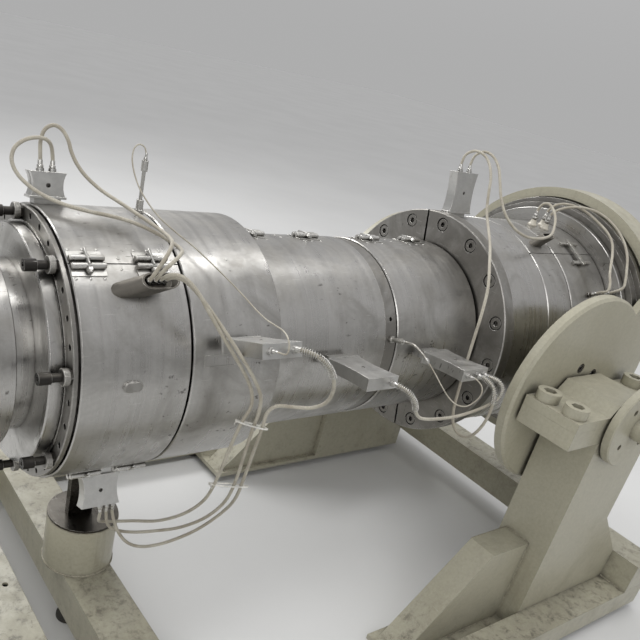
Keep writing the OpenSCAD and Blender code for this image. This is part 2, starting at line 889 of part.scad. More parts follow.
// A waisted box on a neck, standing on the die's surface: w along X, glands at the given places along X.
module terminal_box(x, a, r, w, len, neck, glands) {
  bow = (len * len / 4 + waist * waist) / (2 * waist);
  end_r = r + neck + len;
  color(zinc) difference() {
    radial(x, a, r - 10) translate([-box_neck_w / 2, -box_d / 2 + 4, 0]) cube([box_neck_w, box_d - 8, neck + 10]);
    turned(x - w, 2 * w, r);
  }
  color(zinc) radial(x, a, r + neck) difference() {
    union() {
      translate([-w / 2, -box_d / 2 - 2, 0]) cube([w, box_d + 4, 6]);
      translate([0, box_d / 2, 0]) rotate([90, 0, 0]) linear_extrude(box_d) difference() {
        translate([-w / 2, 0]) square([w, len]);
        for (s = sides) translate([s * (w / 2 + bow - waist), len / 2]) circle(r = bow, $fn = 180);
      }
    }
    for (s = sides) translate([0, s * (box_d / 2 + 1), len / 2]) rotate([s * 90, 0, 0]) cylinder(r = 6, h = 7);
  }
  color(dark) for (g = glands) radial(x + g, a, end_r) cylinder(r = gland_r, h = gland_h);
}

// Three boxes with a standing neck: above the front band, below it, and behind the split flange.
module upright_boxes() {
  terminal_box(front_box_x, front_box_a, band_r, box_small_w, box_small, low_neck, [-front_glands, front_glands]);
  terminal_box(low_box_x, low_box_a, band_r, box_w, box_low, box_neck, low_glands);
  terminal_box(rear_box_x, rear_box_a, bare_r, box_w, box_rear, low_neck, [-rear_glands, rear_glands]);
}

// Three boxes that stand out sideways towards the operator.
module side_boxes() {
  terminal_box(side_box_xs[0], side_box_as[0], band_r, box_w, box_long, box_neck, [-side_glands, side_glands]);
  terminal_box(side_box_xs[1], side_box_as[1], neck_r, box_w, box_long, box_neck, [side_glands]);
  terminal_box(side_box_xs[2], side_box_as[2], neck_r, box_w, box_long, box_neck, [-side_glands, 6, side_glands]);
}

// Leads: each runs straight out of its gland, then along round points, and straight into the next gland.

lead_d = 10;
sensor_lead_d = 4;

function die_point(x, a, r) = [x, -r * cos(a), axis_h + r * sin(a)];
function unit(v) = v / norm(v);
function spline_point(a, b, c, d, t) =
  0.5 * (2 * b + t * (c - a) + t * t * (2 * a - 5 * b + 4 * c - d) + t * t * t * (3 * b - a - 3 * c + d));
function smooth(p, steps) =
  let (n = len(p), q = concat([2 * p[0] - p[1]], p, [2 * p[n - 1] - p[n - 2]]))
    concat([for (i = [0:n - 2], k = [0:steps - 1]) spline_point(q[i], q[i + 1], q[i + 2], q[i + 3], k / steps)], [p[n - 1]]);
function tangent(p, i) = unit(p[min(i + 1, len(p) - 1)] - p[max(i - 1, 0)]);
function frames(p, i, n) =
  i >= len(p) ? [] :
    let (t = tangent(p, i), m = unit(n - (n * t) * t)) concat([[m, cross(t, m)]], frames(p, i + 1, m));

// A tube of diameter d along a smooth curve through the route's points.
module lead(route, d, steps = 2) {
  p = smooth(route, steps);
  f = frames(p, 0, [0.3, 0.5, 0.8]);
  n = len(p);
  k = 8;
  points = [
    for (i = [0:n - 1], j = [0:k - 1]) p[i] + d / 2 * (cos(j * 360 / k) * f[i][0] + sin(j * 360 / k) * f[i][1]),
  ];
  quads = [for (i = [0:n - 2], j = [0:k - 1]) [i * k + j, (i + 1) * k + j, (i + 1) * k + (j + 1) % k, i * k + (j + 1) % k]];
  triangles = [for (q = quads, h = [0, 1]) h == 0 ? [q[0], q[1], q[2]] : [q[0], q[2], q[3]]];
  caps = [[for (j = [0:k - 1]) j], [for (j = [k - 1:-1:0]) (n - 1) * k + j]];
  color(ivory) polyhedron(points, concat(triangles, caps));
}

// The first or last two points of a lead at a face of radius r, and s further out.
function out_of(x, a, r, s = 25) = [die_point(x, a, r), die_point(x, a, r + s)];
function into(x, a, r, s = 25) = [die_point(x, a, r + s), die_point(x, a, r)];

plug_r = band_r + plug_h;
plug_xs = [for (k = [0:3]) band1_x + 164 + 15 * k];
front_gland_r = band_r + low_neck + box_small + gland_h;
low_gland_r = band_r + box_neck + box_low + gland_h;
rear_gland_r = bare_r + low_neck + box_rear + gland_h;
side_gland_rs = [for (r = [band_r, neck_r, neck_r]) r + box_neck + box_long + gland_h];
stud_r = rear_band_r + stud_h;
pin_r = rear_band_r + pin_h;

module lead_mouth_1() {
  lead(concat(
    out_of(plug_xs[0], outlet_a, plug_r),
    [
      [-60, -320, 1385], [-42, -318, 1415], [-18, -295, 1435], [0, -258, 1440], [2, -200, 1444],
      [-13, -125, 1452], [-40, -55, 1465], [-75, -5, 1482], [-105, 24, 1505], [-126, 42, 1530],
      [-140, 54, 1557], [-148, 64, 1584], [-162, 75, 1606], [-182, 83, 1613], [-201, 88, 1599],
      [-209, 88, 1570],
    ],
    into(front_box_x - front_glands, front_box_a, front_gland_r)
  ), lead_d);
}

module lead_mouth_2() {
  lead(concat(
    out_of(plug_xs[1], outlet_a, plug_r),
    [
      [-50, -332, 1388], [-34, -340, 1412], [-5, -322, 1427], [18, -280, 1424], [18, -225, 1425],
      [0, -165, 1430], [-35, -115, 1436], [-80, -85, 1440], [-130, -60, 1442], [-185, -28, 1448],
      [-235, 5, 1464], [-272, 32, 1490], [-290, 46, 1522], [-284, 55, 1553], [-260, 59, 1574],
      [-230, 61, 1583], [-204, 66, 1580], [-186, 75, 1564],
    ],
    into(front_box_x + front_glands, front_box_a, front_gland_r)
  ), lead_d);
}

module lead_low_1() {
  lead(concat(
    out_of(plug_xs[2], outlet_a, plug_r),
    [
      [-30, -338, 1381], [-12, -364, 1384], [14, -390, 1360], [48, -415, 1308], [95, -434, 1244],
      [150, -450, 1173], [188, -455, 1115], [200, -456, 1065], [185, -450, 1010], [178, -435, 920],
      [190, -400, 810], [205, -345, 690], [195, -275, 590], [155, -205, 520], [100, -150, 492],
      [50, -122, 482], [6, -119, 490], [-14, -136, 514],
    ],
    into(low_box_x + low_glands[0], low_box_a, low_gland_r)
  ), lead_d);
}

module lead_low_2() {
  lead(concat(
    out_of(plug_xs[3], outlet_a, plug_r),
    [
      [-13, -333, 1372], [8, -352, 1366], [38, -382, 1336], [72, -416, 1292], [117, -453, 1232],
      [166, -474, 1167], [203, -478, 1110], [212, -478, 1060], [212, -470, 1005], [222, -450, 915],
      [245, -415, 805], [262, -370, 690], [252, -308, 585], [212, -245, 510], [155, -198, 475],
      [95, -167, 462], [45, -150, 470], [13, -147, 498],
    ],
    into(low_box_x + low_glands[1], low_box_a, low_gland_r)
  ), lead_d);
}

module lead_low_3() {
  lead(concat(
    out_of(side_box_xs[0] + side_glands, side_box_as[0], side_gland_rs[0]),
    [
      [240, -600, 1278], [272, -615, 1255], [305, -612, 1215], [330, -598, 1170], [340, -575, 1125],
      [325, -545, 1095], [290, -515, 1085], [250, -498, 1083], [228, -492, 1062], [226, -490, 1020],
      [238, -466, 930], [262, -426, 810], [290, -375, 690], [290, -318, 590], [258, -268, 505],
      [205, -235, 455], [150, -217, 434], [100, -208, 436], [62, -197, 453], [38, -180, 482],
      [26, -161, 515],
    ],
    into(low_box_x + low_glands[2], low_box_a, low_gland_r)
  ), lead_d);
}

module lead_side() {
  lead(concat(
    out_of(side_box_xs[1] + side_glands, side_box_as[1], side_gland_rs[1]),
    [
      [652, -575, 1120], [672, -590, 1095], [692, -590, 1062], [725, -585, 1035], [780, -578, 1018],
      [845, -572, 1008], [910, -570, 1004], [970, -572, 1010], [1012, -580, 1025], [1040, -592, 1047],
      [1055, -603, 1074], [1062, -601, 1101], [1060, -581, 1118],
    ],
    into(side_box_xs[2] + side_glands, side_box_as[2], side_gland_rs[2])
  ), lead_d);
}

module lead_rear() {
  lead(concat(
    out_of(rear_box_x - rear_glands, rear_box_a, rear_gland_r),
    [
      [1378, 80, 1690], [1392, 55, 1710], [1398, 15, 1705], [1392, -25, 1680], [1378, -60, 1640], [1362, -85, 1590],
      [1345, -115, 1535], [1310, -170, 1490], [1255, -240, 1450], [1190, -310, 1405], [1140, -370, 1345],
      [1112, -400, 1270], [1102, -412, 1190], [1098, -420, 1100], [1092, -432, 1010], [1080, -450, 935],
      [1068, -480, 895], [1058, -520, 885], [1050, -560, 905], [1042, -590, 955], [1036, -605, 1015],
      [1030, -605, 1070], [1026, -590, 1106],
    ],
    into(side_box_xs[2] + 6, side_box_as[2], side_gland_rs[2])
  ), lead_d);
}

module lead_stud() {
  lead(concat(
    out_of(rear_box_x + rear_glands, rear_box_a, rear_gland_r),
    [
      [1432, 80, 1692], [1446, 55, 1712], [1450, 15, 1705], [1442, -30, 1675], [1425, -70, 1630],
      [1410, -110, 1580], [1405, -155, 1535], [1425, -195, 1500], [1475, -215, 1480],
      [1540, -220, 1475], [1610, -212, 1478], [1675, -190, 1487], [1730, -155, 1508],
      [1768, -122, 1532], [1790, -88, 1554], [1800, -54, 1568], [1802, -28, 1560],
    ],
    into(stud_xs[0], stud_as[0], stud_r, 28)
  ), lead_d);
}

module lead_tail_1() {
  lead(concat(
    out_of(stud_xs[1], stud_as[1], stud_r, 20),
    [
      [1876, -24, 1550], [1895, -38, 1568], [1920, -60, 1576], [1948, -92, 1574], [1968, -132, 1562],
      [1980, -178, 1542], [1984, -228, 1518], [1975, -270, 1488], [1948, -305, 1450],
      [1918, -332, 1416], [1888, -358, 1388], [1865, -384, 1364], [1848, -397, 1338],
    ],
    into(pin_xs[0], pin_a, pin_r, 35)
  ), lead_d);
}

module lead_tail_2() {
  lead(concat(
    out_of(stud_xs[2], stud_as[2], stud_r, 20),
    [
      [1843, -66, 1545], [1866, -84, 1564], [1905, -108, 1578], [1945, -135, 1582], [1980, -167, 1576],
      [2006, -208, 1558], [2015, -256, 1530], [2012, -300, 1496], [1998, -338, 1457],
      [1980, -365, 1418], [1962, -387, 1382], [1946, -400, 1350],
    ],
    into(pin_xs[1], pin_a, pin_r, 38)
  ), lead_d);
}

module lead_sensor_top() {
  lead(concat(
    out_of(top_sensor_x, top_sensor_a, band_r + top_sensor_h, 15),
    [
      [42, 20, 1596], [26, 21, 1602], [12, 19, 1590], [6, 8, 1560], [10, -20, 1520], [22, -55, 1485],
      [48, -100, 1448], [80, -145, 1422], [115, -190, 1398], [148, -235, 1370], [178, -280, 1342],
      [200, -325, 1318], [208, -375, 1302], [202, -430, 1300], [190, -485, 1308], [174, -535, 1318],
      [161, -572, 1318], [153, -594, 1305], [150, -594, 1286],
    ],
    into(side_box_xs[0] - side_glands, side_box_as[0], side_gland_rs[0], 20)
  ), sensor_lead_d);
}

module lead_sensor_neck() {
  lead(concat(
    out_of(sensor_ring_x + sensor_ring_w / 2, neck_sensor_a, neck_r - 5 + neck_sensor_h, 20),
    [
      [850, -385, 1165], [862, -412, 1152], [875, -440, 1130], [890, -468, 1102], [905, -495, 1072], [922, -520, 1045],
      [940, -545, 1030], [958, -568, 1035], [972, -582, 1058], [980, -588, 1085], [983, -578, 1108],
    ],
    into(side_box_xs[2] - side_glands, side_box_as[2], side_gland_rs[2])
  ), sensor_lead_d);
}

mandrel();
lip_ring();
face_plate();
clamp_ring();
adjusting_screws();
front_body();
step_bolts();
front_band_1();
front_band_2();
neck_band_1();
neck_band_2();
rear_band_1();
rear_band_2();
front_latches();
neck_latches();
rear_latches();
cable_outlets();
neck_body();
sensor_ring();
neck_sensor();
top_sensor();
split_flange();
flange_bolts();
rear_body();
rear_plate();
rear_plugs();
backing_ring();
housing();
inlet_neck();
for (s = sides) side_disc(s);  // side_discs
for (s = sides) disc_bolts(s);
for (s = sides) shaft(s);  // shafts
for (s = sides) end_disc(s);  // end_discs
for (s = sides) bearing_base(s);  // bearing_bases
for (s = sides) bearing_cap(s);  // bearing_caps
for (s = sides) bearing_screws(s);
pedestal(-1);  // pedestal_near
pedestal(1);  // pedestal_far
side_rail(-1);  // side_rail_near
side_rail(1);  // side_rail_far
rail_caps();
for (x = beam_xs) cross_beam(x);  // cross_beams
feet();
post();
post_cap();
post_fin();
upright_boxes();
side_boxes();
lead_mouth_1();
lead_mouth_2();
lead_low_1();
lead_low_2();
lead_low_3();
lead_side();
lead_rear();
lead_stud();
lead_tail_1();
lead_tail_2();
lead_sensor_top();
lead_sensor_neck();
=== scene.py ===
# %% [markdown]
# # A pipe extrusion die head on its frame
# The die head of a plastic pipe line is a stack of turned steel rings. Thin steel heater bands wrap it,
# latches close them, and sleeved leads feed them. Two trunnion bearings carry the rear end.
# The solids come from the CAD model. This lesson gives them their finishes and adds the small things:
# springs, ties, spot welds, weld beads and screws. Lengths are in metres, +X runs along the die, +Z is up.

# %% Load the solids
import bpy
import bmesh
import math
from mathutils import Matrix, Vector


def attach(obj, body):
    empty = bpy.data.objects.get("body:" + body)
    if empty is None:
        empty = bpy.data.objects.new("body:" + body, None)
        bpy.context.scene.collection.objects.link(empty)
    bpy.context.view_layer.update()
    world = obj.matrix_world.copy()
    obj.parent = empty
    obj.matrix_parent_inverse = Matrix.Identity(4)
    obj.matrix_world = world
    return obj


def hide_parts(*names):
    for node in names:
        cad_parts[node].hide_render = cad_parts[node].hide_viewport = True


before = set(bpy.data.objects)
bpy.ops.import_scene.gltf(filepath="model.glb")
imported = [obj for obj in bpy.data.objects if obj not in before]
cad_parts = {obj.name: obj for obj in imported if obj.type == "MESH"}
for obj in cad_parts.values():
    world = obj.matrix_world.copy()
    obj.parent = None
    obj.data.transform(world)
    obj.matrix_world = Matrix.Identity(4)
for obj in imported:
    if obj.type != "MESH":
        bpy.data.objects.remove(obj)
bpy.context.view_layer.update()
print(len(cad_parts), "solids loaded")

# %% [markdown]
# ## The camera
# The photograph looks down on the head from the side of its mouth, with the camera tilted. A camera can be
# turned with Euler angles, but yaw, pitch and roll measured from the picture are easier to use as three
# directions: forward, right and up. The frame is shifted, because the picture was cropped.

# %% Camera
PICTURE = 640
FOCAL_PIXELS = 732
SHIFT_PIXELS = 60
SENSOR_WIDTH = 36
CAMERA_PLACE = (-0.892, -1.749, 1.926)
YAW = 40.4
PITCH = 24.8
ROLL = 13.6


def add_object(name, data):
    thing = bpy.data.objects.new(name, data)
    bpy.context.scene.collection.objects.link(thing)
    return thing


def axes_matrix(x_axis, y_axis, z_axis, place=(0, 0, 0)):
    rows = [(x_axis[i], y_axis[i], z_axis[i], place[i]) for i in range(3)]
    return Matrix(rows + [(0, 0, 0, 1)])


def add_camera(place, yaw, pitch, roll):
    yaw, pitch, roll = (math.radians(a) for a in (yaw, pitch, roll))
    forward = Vector((math.sin(yaw) * math.cos(pitch), math.cos(yaw) * math.cos(pitch), -math.sin(pitch)))
    level = Vector((math.cos(yaw), -math.sin(yaw), 0))
    above = level.cross(forward)
    right = level * math.cos(roll) + above * math.sin(roll)
    up = above * math.cos(roll) - level * math.sin(roll)
    camera = add_object("camera", bpy.data.cameras.new("camera"))
    camera.matrix_world = axes_matrix(right, up, -forward, place)
    bpy.context.scene.camera = camera
    return camera.data


view = add_camera(CAMERA_PLACE, YAW, PITCH, ROLL)
view.sensor_width = SENSOR_WIDTH
view.lens = SENSOR_WIDTH * FOCAL_PIXELS / PICTURE
view.shift_x = SHIFT_PIXELS / PICTURE
view.shift_y = SHIFT_PIXELS / PICTURE
print("lens", round(view.lens, 1), "mm")

# %% [markdown]
# ## The leads
# Each heater lead is a strand in a woven glass sleeve, as limp as string. It leaves a gland, hangs, and goes
# back into another gland. A curve with a bevel would do, and so would a mesh swept along the route. The curve
# is chosen: it keeps the centreline, so its length can be checked. The routes are the ones that the solids
# follow, and a spline through each point rounds them off.

# %% Lead routes
ROUTES = {
    "lead_mouth_1": [
        (-0.068, -0.295, 1.345), (-0.068, -0.313, 1.362), (-0.06, -0.32, 1.385), (-0.042, -0.318, 1.415),
        (-0.018, -0.295, 1.435), (0, -0.258, 1.44), (0.002, -0.2, 1.444), (-0.013, -0.125, 1.452),
        (-0.04, -0.055, 1.465), (-0.075, -0.005, 1.482), (-0.105, 0.024, 1.505), (-0.126, 0.042, 1.53),
        (-0.14, 0.054, 1.557), (-0.148, 0.064, 1.584), (-0.162, 0.075, 1.606), (-0.182, 0.083, 1.613),
        (-0.201, 0.088, 1.599), (-0.209, 0.088, 1.57), (-0.208, 0.083, 1.532), (-0.208, 0.079, 1.507),
    ],
    "lead_mouth_2": [
        (-0.053, -0.295, 1.345), (-0.053, -0.313, 1.362), (-0.05, -0.332, 1.388), (-0.034, -0.34, 1.412),
        (-0.005, -0.322, 1.427), (0.018, -0.28, 1.424), (0.018, -0.225, 1.425), (0, -0.165, 1.43),
        (-0.035, -0.115, 1.436), (-0.08, -0.085, 1.44), (-0.13, -0.06, 1.442), (-0.185, -0.028, 1.448),
        (-0.235, 0.005, 1.464), (-0.272, 0.032, 1.49), (-0.29, 0.046, 1.522), (-0.284, 0.055, 1.553),
        (-0.26, 0.059, 1.574), (-0.23, 0.061, 1.583), (-0.204, 0.066, 1.58), (-0.186, 0.075, 1.564),
        (-0.176, 0.083, 1.532), (-0.176, 0.079, 1.507),
    ],
    "lead_low_1": [
        (-0.038, -0.295, 1.345), (-0.038, -0.313, 1.362), (-0.03, -0.338, 1.381),
        (-0.012, -0.364, 1.384), (0.014, -0.39, 1.36), (0.048, -0.415, 1.308), (0.095, -0.434, 1.244),
        (0.15, -0.45, 1.173), (0.188, -0.455, 1.115), (0.2, -0.456, 1.065), (0.185, -0.45, 1.01),
        (0.178, -0.435, 0.92), (0.19, -0.4, 0.81), (0.205, -0.345, 0.69), (0.195, -0.275, 0.59),
        (0.155, -0.205, 0.52), (0.1, -0.15, 0.492), (0.05, -0.122, 0.482), (0.006, -0.119, 0.49),
        (-0.014, -0.136, 0.514), (-0.019, -0.147, 0.546), (-0.019, -0.141, 0.57),
    ],
    "lead_low_2": [
        (-0.023, -0.295, 1.345), (-0.023, -0.313, 1.362), (-0.013, -0.333, 1.372),
        (0.008, -0.352, 1.366), (0.038, -0.382, 1.336), (0.072, -0.416, 1.292), (0.117, -0.453, 1.232),
        (0.166, -0.474, 1.167), (0.203, -0.478, 1.11), (0.212, -0.478, 1.06), (0.212, -0.47, 1.005),
        (0.222, -0.45, 0.915), (0.245, -0.415, 0.805), (0.262, -0.37, 0.69), (0.252, -0.308, 0.585),
        (0.212, -0.245, 0.51), (0.155, -0.198, 0.475), (0.095, -0.167, 0.462), (0.045, -0.15, 0.47),
        (0.013, -0.147, 0.498), (0.001, -0.147, 0.546), (0.001, -0.141, 0.57),
    ],
    "lead_low_3": [
        (0.222, -0.546, 1.27), (0.222, -0.569, 1.279), (0.24, -0.6, 1.278), (0.272, -0.615, 1.255),
        (0.305, -0.612, 1.215), (0.33, -0.598, 1.17), (0.34, -0.575, 1.125), (0.325, -0.545, 1.095),
        (0.29, -0.515, 1.085), (0.25, -0.498, 1.083), (0.228, -0.492, 1.062), (0.226, -0.49, 1.02),
        (0.238, -0.466, 0.93), (0.262, -0.426, 0.81), (0.29, -0.375, 0.69), (0.29, -0.318, 0.59),
        (0.258, -0.268, 0.505), (0.205, -0.235, 0.455), (0.15, -0.217, 0.434), (0.1, -0.208, 0.436),
        (0.062, -0.197, 0.453), (0.038, -0.18, 0.482), (0.026, -0.161, 0.515), (0.021, -0.147, 0.546),
        (0.021, -0.141, 0.57),
    ],
    "lead_side": [
        (0.639, -0.525, 1.124), (0.639, -0.55, 1.128), (0.652, -0.575, 1.12), (0.672, -0.59, 1.095),
        (0.692, -0.59, 1.062), (0.725, -0.585, 1.035), (0.78, -0.578, 1.018), (0.845, -0.572, 1.008),
        (0.91, -0.57, 1.004), (0.97, -0.572, 1.01), (1.012, -0.58, 1.025), (1.04, -0.592, 1.047),
        (1.055, -0.603, 1.074), (1.062, -0.601, 1.101), (1.06, -0.581, 1.118), (1.055, -0.551, 1.118),
        (1.055, -0.526, 1.115),
    ],
    "lead_rear": [
        (1.374, 0.081, 1.634), (1.374, 0.084, 1.659), (1.378, 0.08, 1.69), (1.392, 0.055, 1.71),
        (1.398, 0.015, 1.705), (1.392, -0.025, 1.68), (1.378, -0.06, 1.64), (1.362, -0.085, 1.59),
        (1.345, -0.115, 1.535), (1.31, -0.17, 1.49), (1.255, -0.24, 1.45), (1.19, -0.31, 1.405),
        (1.14, -0.37, 1.345), (1.112, -0.4, 1.27), (1.102, -0.412, 1.19), (1.098, -0.42, 1.1),
        (1.092, -0.432, 1.01), (1.08, -0.45, 0.935), (1.068, -0.48, 0.895), (1.058, -0.52, 0.885),
        (1.05, -0.56, 0.905), (1.042, -0.59, 0.955), (1.036, -0.605, 1.015), (1.03, -0.605, 1.07),
        (1.026, -0.59, 1.106), (1.025, -0.551, 1.118), (1.025, -0.526, 1.115),
    ],
    "lead_stud": [
        (1.426, 0.081, 1.634), (1.426, 0.084, 1.659), (1.432, 0.08, 1.692), (1.446, 0.055, 1.712),
        (1.45, 0.015, 1.705), (1.442, -0.03, 1.675), (1.425, -0.07, 1.63), (1.41, -0.11, 1.58),
        (1.405, -0.155, 1.535), (1.425, -0.195, 1.5), (1.475, -0.215, 1.48), (1.54, -0.22, 1.475),
        (1.61, -0.212, 1.478), (1.675, -0.19, 1.487), (1.73, -0.155, 1.508), (1.768, -0.122, 1.532),
        (1.79, -0.088, 1.554), (1.8, -0.054, 1.568), (1.802, -0.028, 1.56), (1.8, -0.017, 1.536),
        (1.8, -0.016, 1.508),
    ],
    "lead_tail_1": [
        (1.87, -0.016, 1.508), (1.87, -0.016, 1.528), (1.876, -0.024, 1.55), (1.895, -0.038, 1.568),
        (1.92, -0.06, 1.576), (1.948, -0.092, 1.574), (1.968, -0.132, 1.562), (1.98, -0.178, 1.542),
        (1.984, -0.228, 1.518), (1.975, -0.27, 1.488), (1.948, -0.305, 1.45), (1.918, -0.332, 1.416),
        (1.888, -0.358, 1.388), (1.865, -0.384, 1.364), (1.848, -0.397, 1.338), (1.84, -0.378, 1.324),
        (1.84, -0.349, 1.304),
    ],
    "lead_tail_2": [
        (1.835, -0.055, 1.505), (1.835, -0.057, 1.525), (1.843, -0.066, 1.545), (1.866, -0.084, 1.564),
        (1.905, -0.108, 1.578), (1.945, -0.135, 1.582), (1.98, -0.167, 1.576), (2.006, -0.208, 1.558),
        (2.015, -0.256, 1.53), (2.012, -0.3, 1.496), (1.998, -0.338, 1.457), (1.98, -0.365, 1.418),
        (1.962, -0.387, 1.382), (1.946, -0.4, 1.35), (1.935, -0.38, 1.326), (1.935, -0.349, 1.304),
    ],
    "lead_sensor_top": [
        (0.048, 0.018, 1.564), (0.048, 0.018, 1.579), (0.042, 0.02, 1.596), (0.026, 0.021, 1.602),
        (0.012, 0.019, 1.59), (0.006, 0.008, 1.56), (0.01, -0.02, 1.52), (0.022, -0.055, 1.485),
        (0.048, -0.1, 1.448), (0.08, -0.145, 1.422), (0.115, -0.19, 1.398), (0.148, -0.235, 1.37),
        (0.178, -0.28, 1.342), (0.2, -0.325, 1.318), (0.208, -0.375, 1.302), (0.202, -0.43, 1.3),
        (0.19, -0.485, 1.308), (0.174, -0.535, 1.318), (0.161, -0.572, 1.318), (0.153, -0.594, 1.305),
        (0.15, -0.594, 1.286), (0.15, -0.565, 1.277), (0.15, -0.546, 1.27),
    ],
    "lead_sensor_neck": [
        (0.842, -0.345, 1.159), (0.842, -0.364, 1.164), (0.85, -0.385, 1.165), (0.862, -0.412, 1.152),
        (0.875, -0.44, 1.13), (0.89, -0.468, 1.102), (0.905, -0.495, 1.072), (0.922, -0.52, 1.045),
        (0.94, -0.545, 1.03), (0.958, -0.568, 1.035), (0.972, -0.582, 1.058), (0.98, -0.588, 1.085),
        (0.983, -0.578, 1.108), (0.983, -0.551, 1.118), (0.983, -0.526, 1.115),
    ],
}
LEAD = 0.010
SENSOR_LEAD = 0.004


def thickness(lead):
    return SENSOR_LEAD if "sensor" in lead else LEAD


print(len(ROUTES), "routes")

# %% Smooth curves through the routes
STEPS_PER_POINT = 6


def smooth_route(points):
    points = [Vector(p) for p in points]
    padded = [2 * points[0] - points[1]] + points + [2 * points[-1] - points[-2]]
    path = []
    for a, b, c, d in zip(padded, padded[1:], padded[2:], padded[3:]):
        for k in range(STEPS_PER_POINT):
            t = k / STEPS_PER_POINT
            path.append(0.5 * (2 * b + t * (c - a) + t * t * (2 * a - 5 * b + 4 * c - d)
                               + t ** 3 * (3 * b - a - 3 * c + d)))
    return path + [points[-1]]


def walked_along(path):
    walked = [0.0]
    for a, b in zip(path, path[1:]):
        walked.append(walked[-1] + (b - a).length)
    return walked


# A curve's box counts each point's radius in, so the thickness is set there and the bevel stays at 1.
def wire(name, path, diameter, sides=3):
    curve = bpy.data.curves.new(name, "CURVE")
    curve.dimensions = "3D"
    curve.bevel_depth = 1.0
    curve.bevel_resolution = sides
    curve.use_fill_caps = True
    spline = curve.splines.new("POLY")
    spline.points.add(len(path) - 1)
    for point, place in zip(spline.points, path):
        point.co = (*place, 1)
        point.radius = diameter / 2
    spline.use_smooth = True
    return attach(add_object(name, curve), "root")


leads = {}
paths = {}
for name, points in ROUTES.items():
    thick = thickness(name)
    paths[name] = smooth_route(points)
    length = walked_along(paths[name])[-1]
    leads[name] = wire(name + "_sleeve", paths[name], thick)
    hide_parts(name)
    print(name, round(length, 3), "m")

# %% [markdown]
# ## Shared effects
# Wear, lathe marks, smudges and dust turn up in most finishes here. Each effect could be copied into every
# material, but one node group per effect, with its own inputs, keeps them alike and easy to tune.
# A few helpers come first. Each adds one node and hands on its output, so a shader reads like a formula.
# A plain number is set on its socket, and the output of another node is linked to it.

# %% Small helpers for node trees
def feed(tree, sockets, values):
    for label, value in values.items():
        if isinstance(value, bpy.types.NodeSocket):
            tree.links.new(value, sockets[label])
        else:
            sockets[label].default_value = value


def calc(tree, operation, *values):
    node = tree.nodes.new("ShaderNodeMath")
    node.operation = operation
    feed(tree, node.inputs, dict(enumerate(values[:2])))
    if len(values) > 2:
        return calc(tree, operation, node.outputs[0], *values[2:])
    return node.outputs[0]


def times(tree, *values):
    return calc(tree, "MULTIPLY", *values)


def plus(tree, *values):
    return calc(tree, "ADD", *values)


def minus(tree, *values):
    return calc(tree, "SUBTRACT", *values)


def span(tree, value, low, high, to_low=0.0, to_high=1.0):
    node = tree.nodes.new("ShaderNodeMapRange")
    node.interpolation_type = "SMOOTHSTEP"
    feed(tree, node.inputs, {"Value": value, "From Min": low, "From Max": high})
    feed(tree, node.inputs, {"To Min": to_low, "To Max": to_high})
    return node.outputs[0]


print("arithmetic ready")

# %% Helpers for places and noise
def place_on(tree, stretch=(1, 1, 1), turn=(0, 0, 0)):
    node = tree.nodes.new("ShaderNodeMapping")
    here = tree.nodes.new("ShaderNodeTexCoord").outputs["Object"]
    feed(tree, node.inputs, {"Vector": here, "Rotation": [math.radians(a) for a in turn], "Scale": stretch})
    return node.outputs[0]


def cloud(tree, scale, detail=4.0, roughness=0.55, distortion=0.0, on=None):
    node = tree.nodes.new("ShaderNodeTexNoise")
    feed(tree, node.inputs, {"Vector": place_on(tree) if on is None else on, "Scale": scale})
    feed(tree, node.inputs, {"Detail": detail, "Roughness": roughness, "Distortion": distortion})
    return node.outputs[0]


def axes_of(tree, vector):
    node = tree.nodes.new("ShaderNodeSeparateXYZ")
    feed(tree, node.inputs, {0: vector})
    return node.outputs


def surface_normal(tree):
    return tree.nodes.new("ShaderNodeNewGeometry").outputs["Normal"]


def new_effect(name, inputs, outputs):
    tree = bpy.data.node_groups.new(name, "ShaderNodeTree")
    for label, value in inputs.items():
        socket = tree.interface.new_socket(label, in_out="INPUT", socket_type="NodeSocketFloat")
        socket.default_value = value
    for label in outputs:
        kind = "NodeSocketVector" if label == "Normal" else "NodeSocketFloat"
        tree.interface.new_socket(label, in_out="OUTPUT", socket_type=kind)
    return tree, tree.nodes.new("NodeGroupInput").outputs, tree.nodes.new("NodeGroupOutput").inputs


print("noise ready")

# %% [markdown]
# ### Lathe marks
# A turned ring keeps the fine rings that the tool cut. A wave texture would repeat too evenly. Noise that is
# read by X and by the distance from the die's axis gives uneven rings, and a slight twist breaks them up.

# %% Rings left by the lathe
AXIS_HEIGHT = 1.06
RING_TWIST = 0.012
BAND_SCALE = 34.0


def make_lathe_marks():
    tree, given, made = new_effect("lathe_marks", {"Fineness": 300.0}, ["Height", "Bands"])
    x, y, z = axes_of(tree, place_on(tree))
    up = minus(tree, z, AXIS_HEIGHT)
    radius = calc(tree, "SQRT", plus(tree, times(tree, y, y), times(tree, up, up)))
    ring = tree.nodes.new("ShaderNodeCombineXYZ")
    feed(tree, ring.inputs, {0: x, 1: radius, 2: times(tree, plus(tree, y, up), RING_TWIST)})
    feed(tree, made, {
        "Height": cloud(tree, given["Fineness"], 3.0, on=ring.outputs[0]),
        "Bands": cloud(tree, BAND_SCALE, 5.0, 0.7, on=ring.outputs[0]),
    })
    return tree


LATHE_MARKS = make_lathe_marks()
print(LATHE_MARKS.name)

# %% [markdown]
# ### Smudges
# Oil and handling leave soft blots with a finer grain inside. Both come from one noise texture each. The
# Cover input lowers the level at which a blot starts, so one group serves clean and dirty parts.

# %% Smudges of oil and handling
BLOT_LEVEL = 0.86
BLOT_SPAN = 0.62
BLOT_EDGE = (0.14, 0.10)
FINE_SCALE = 85.0


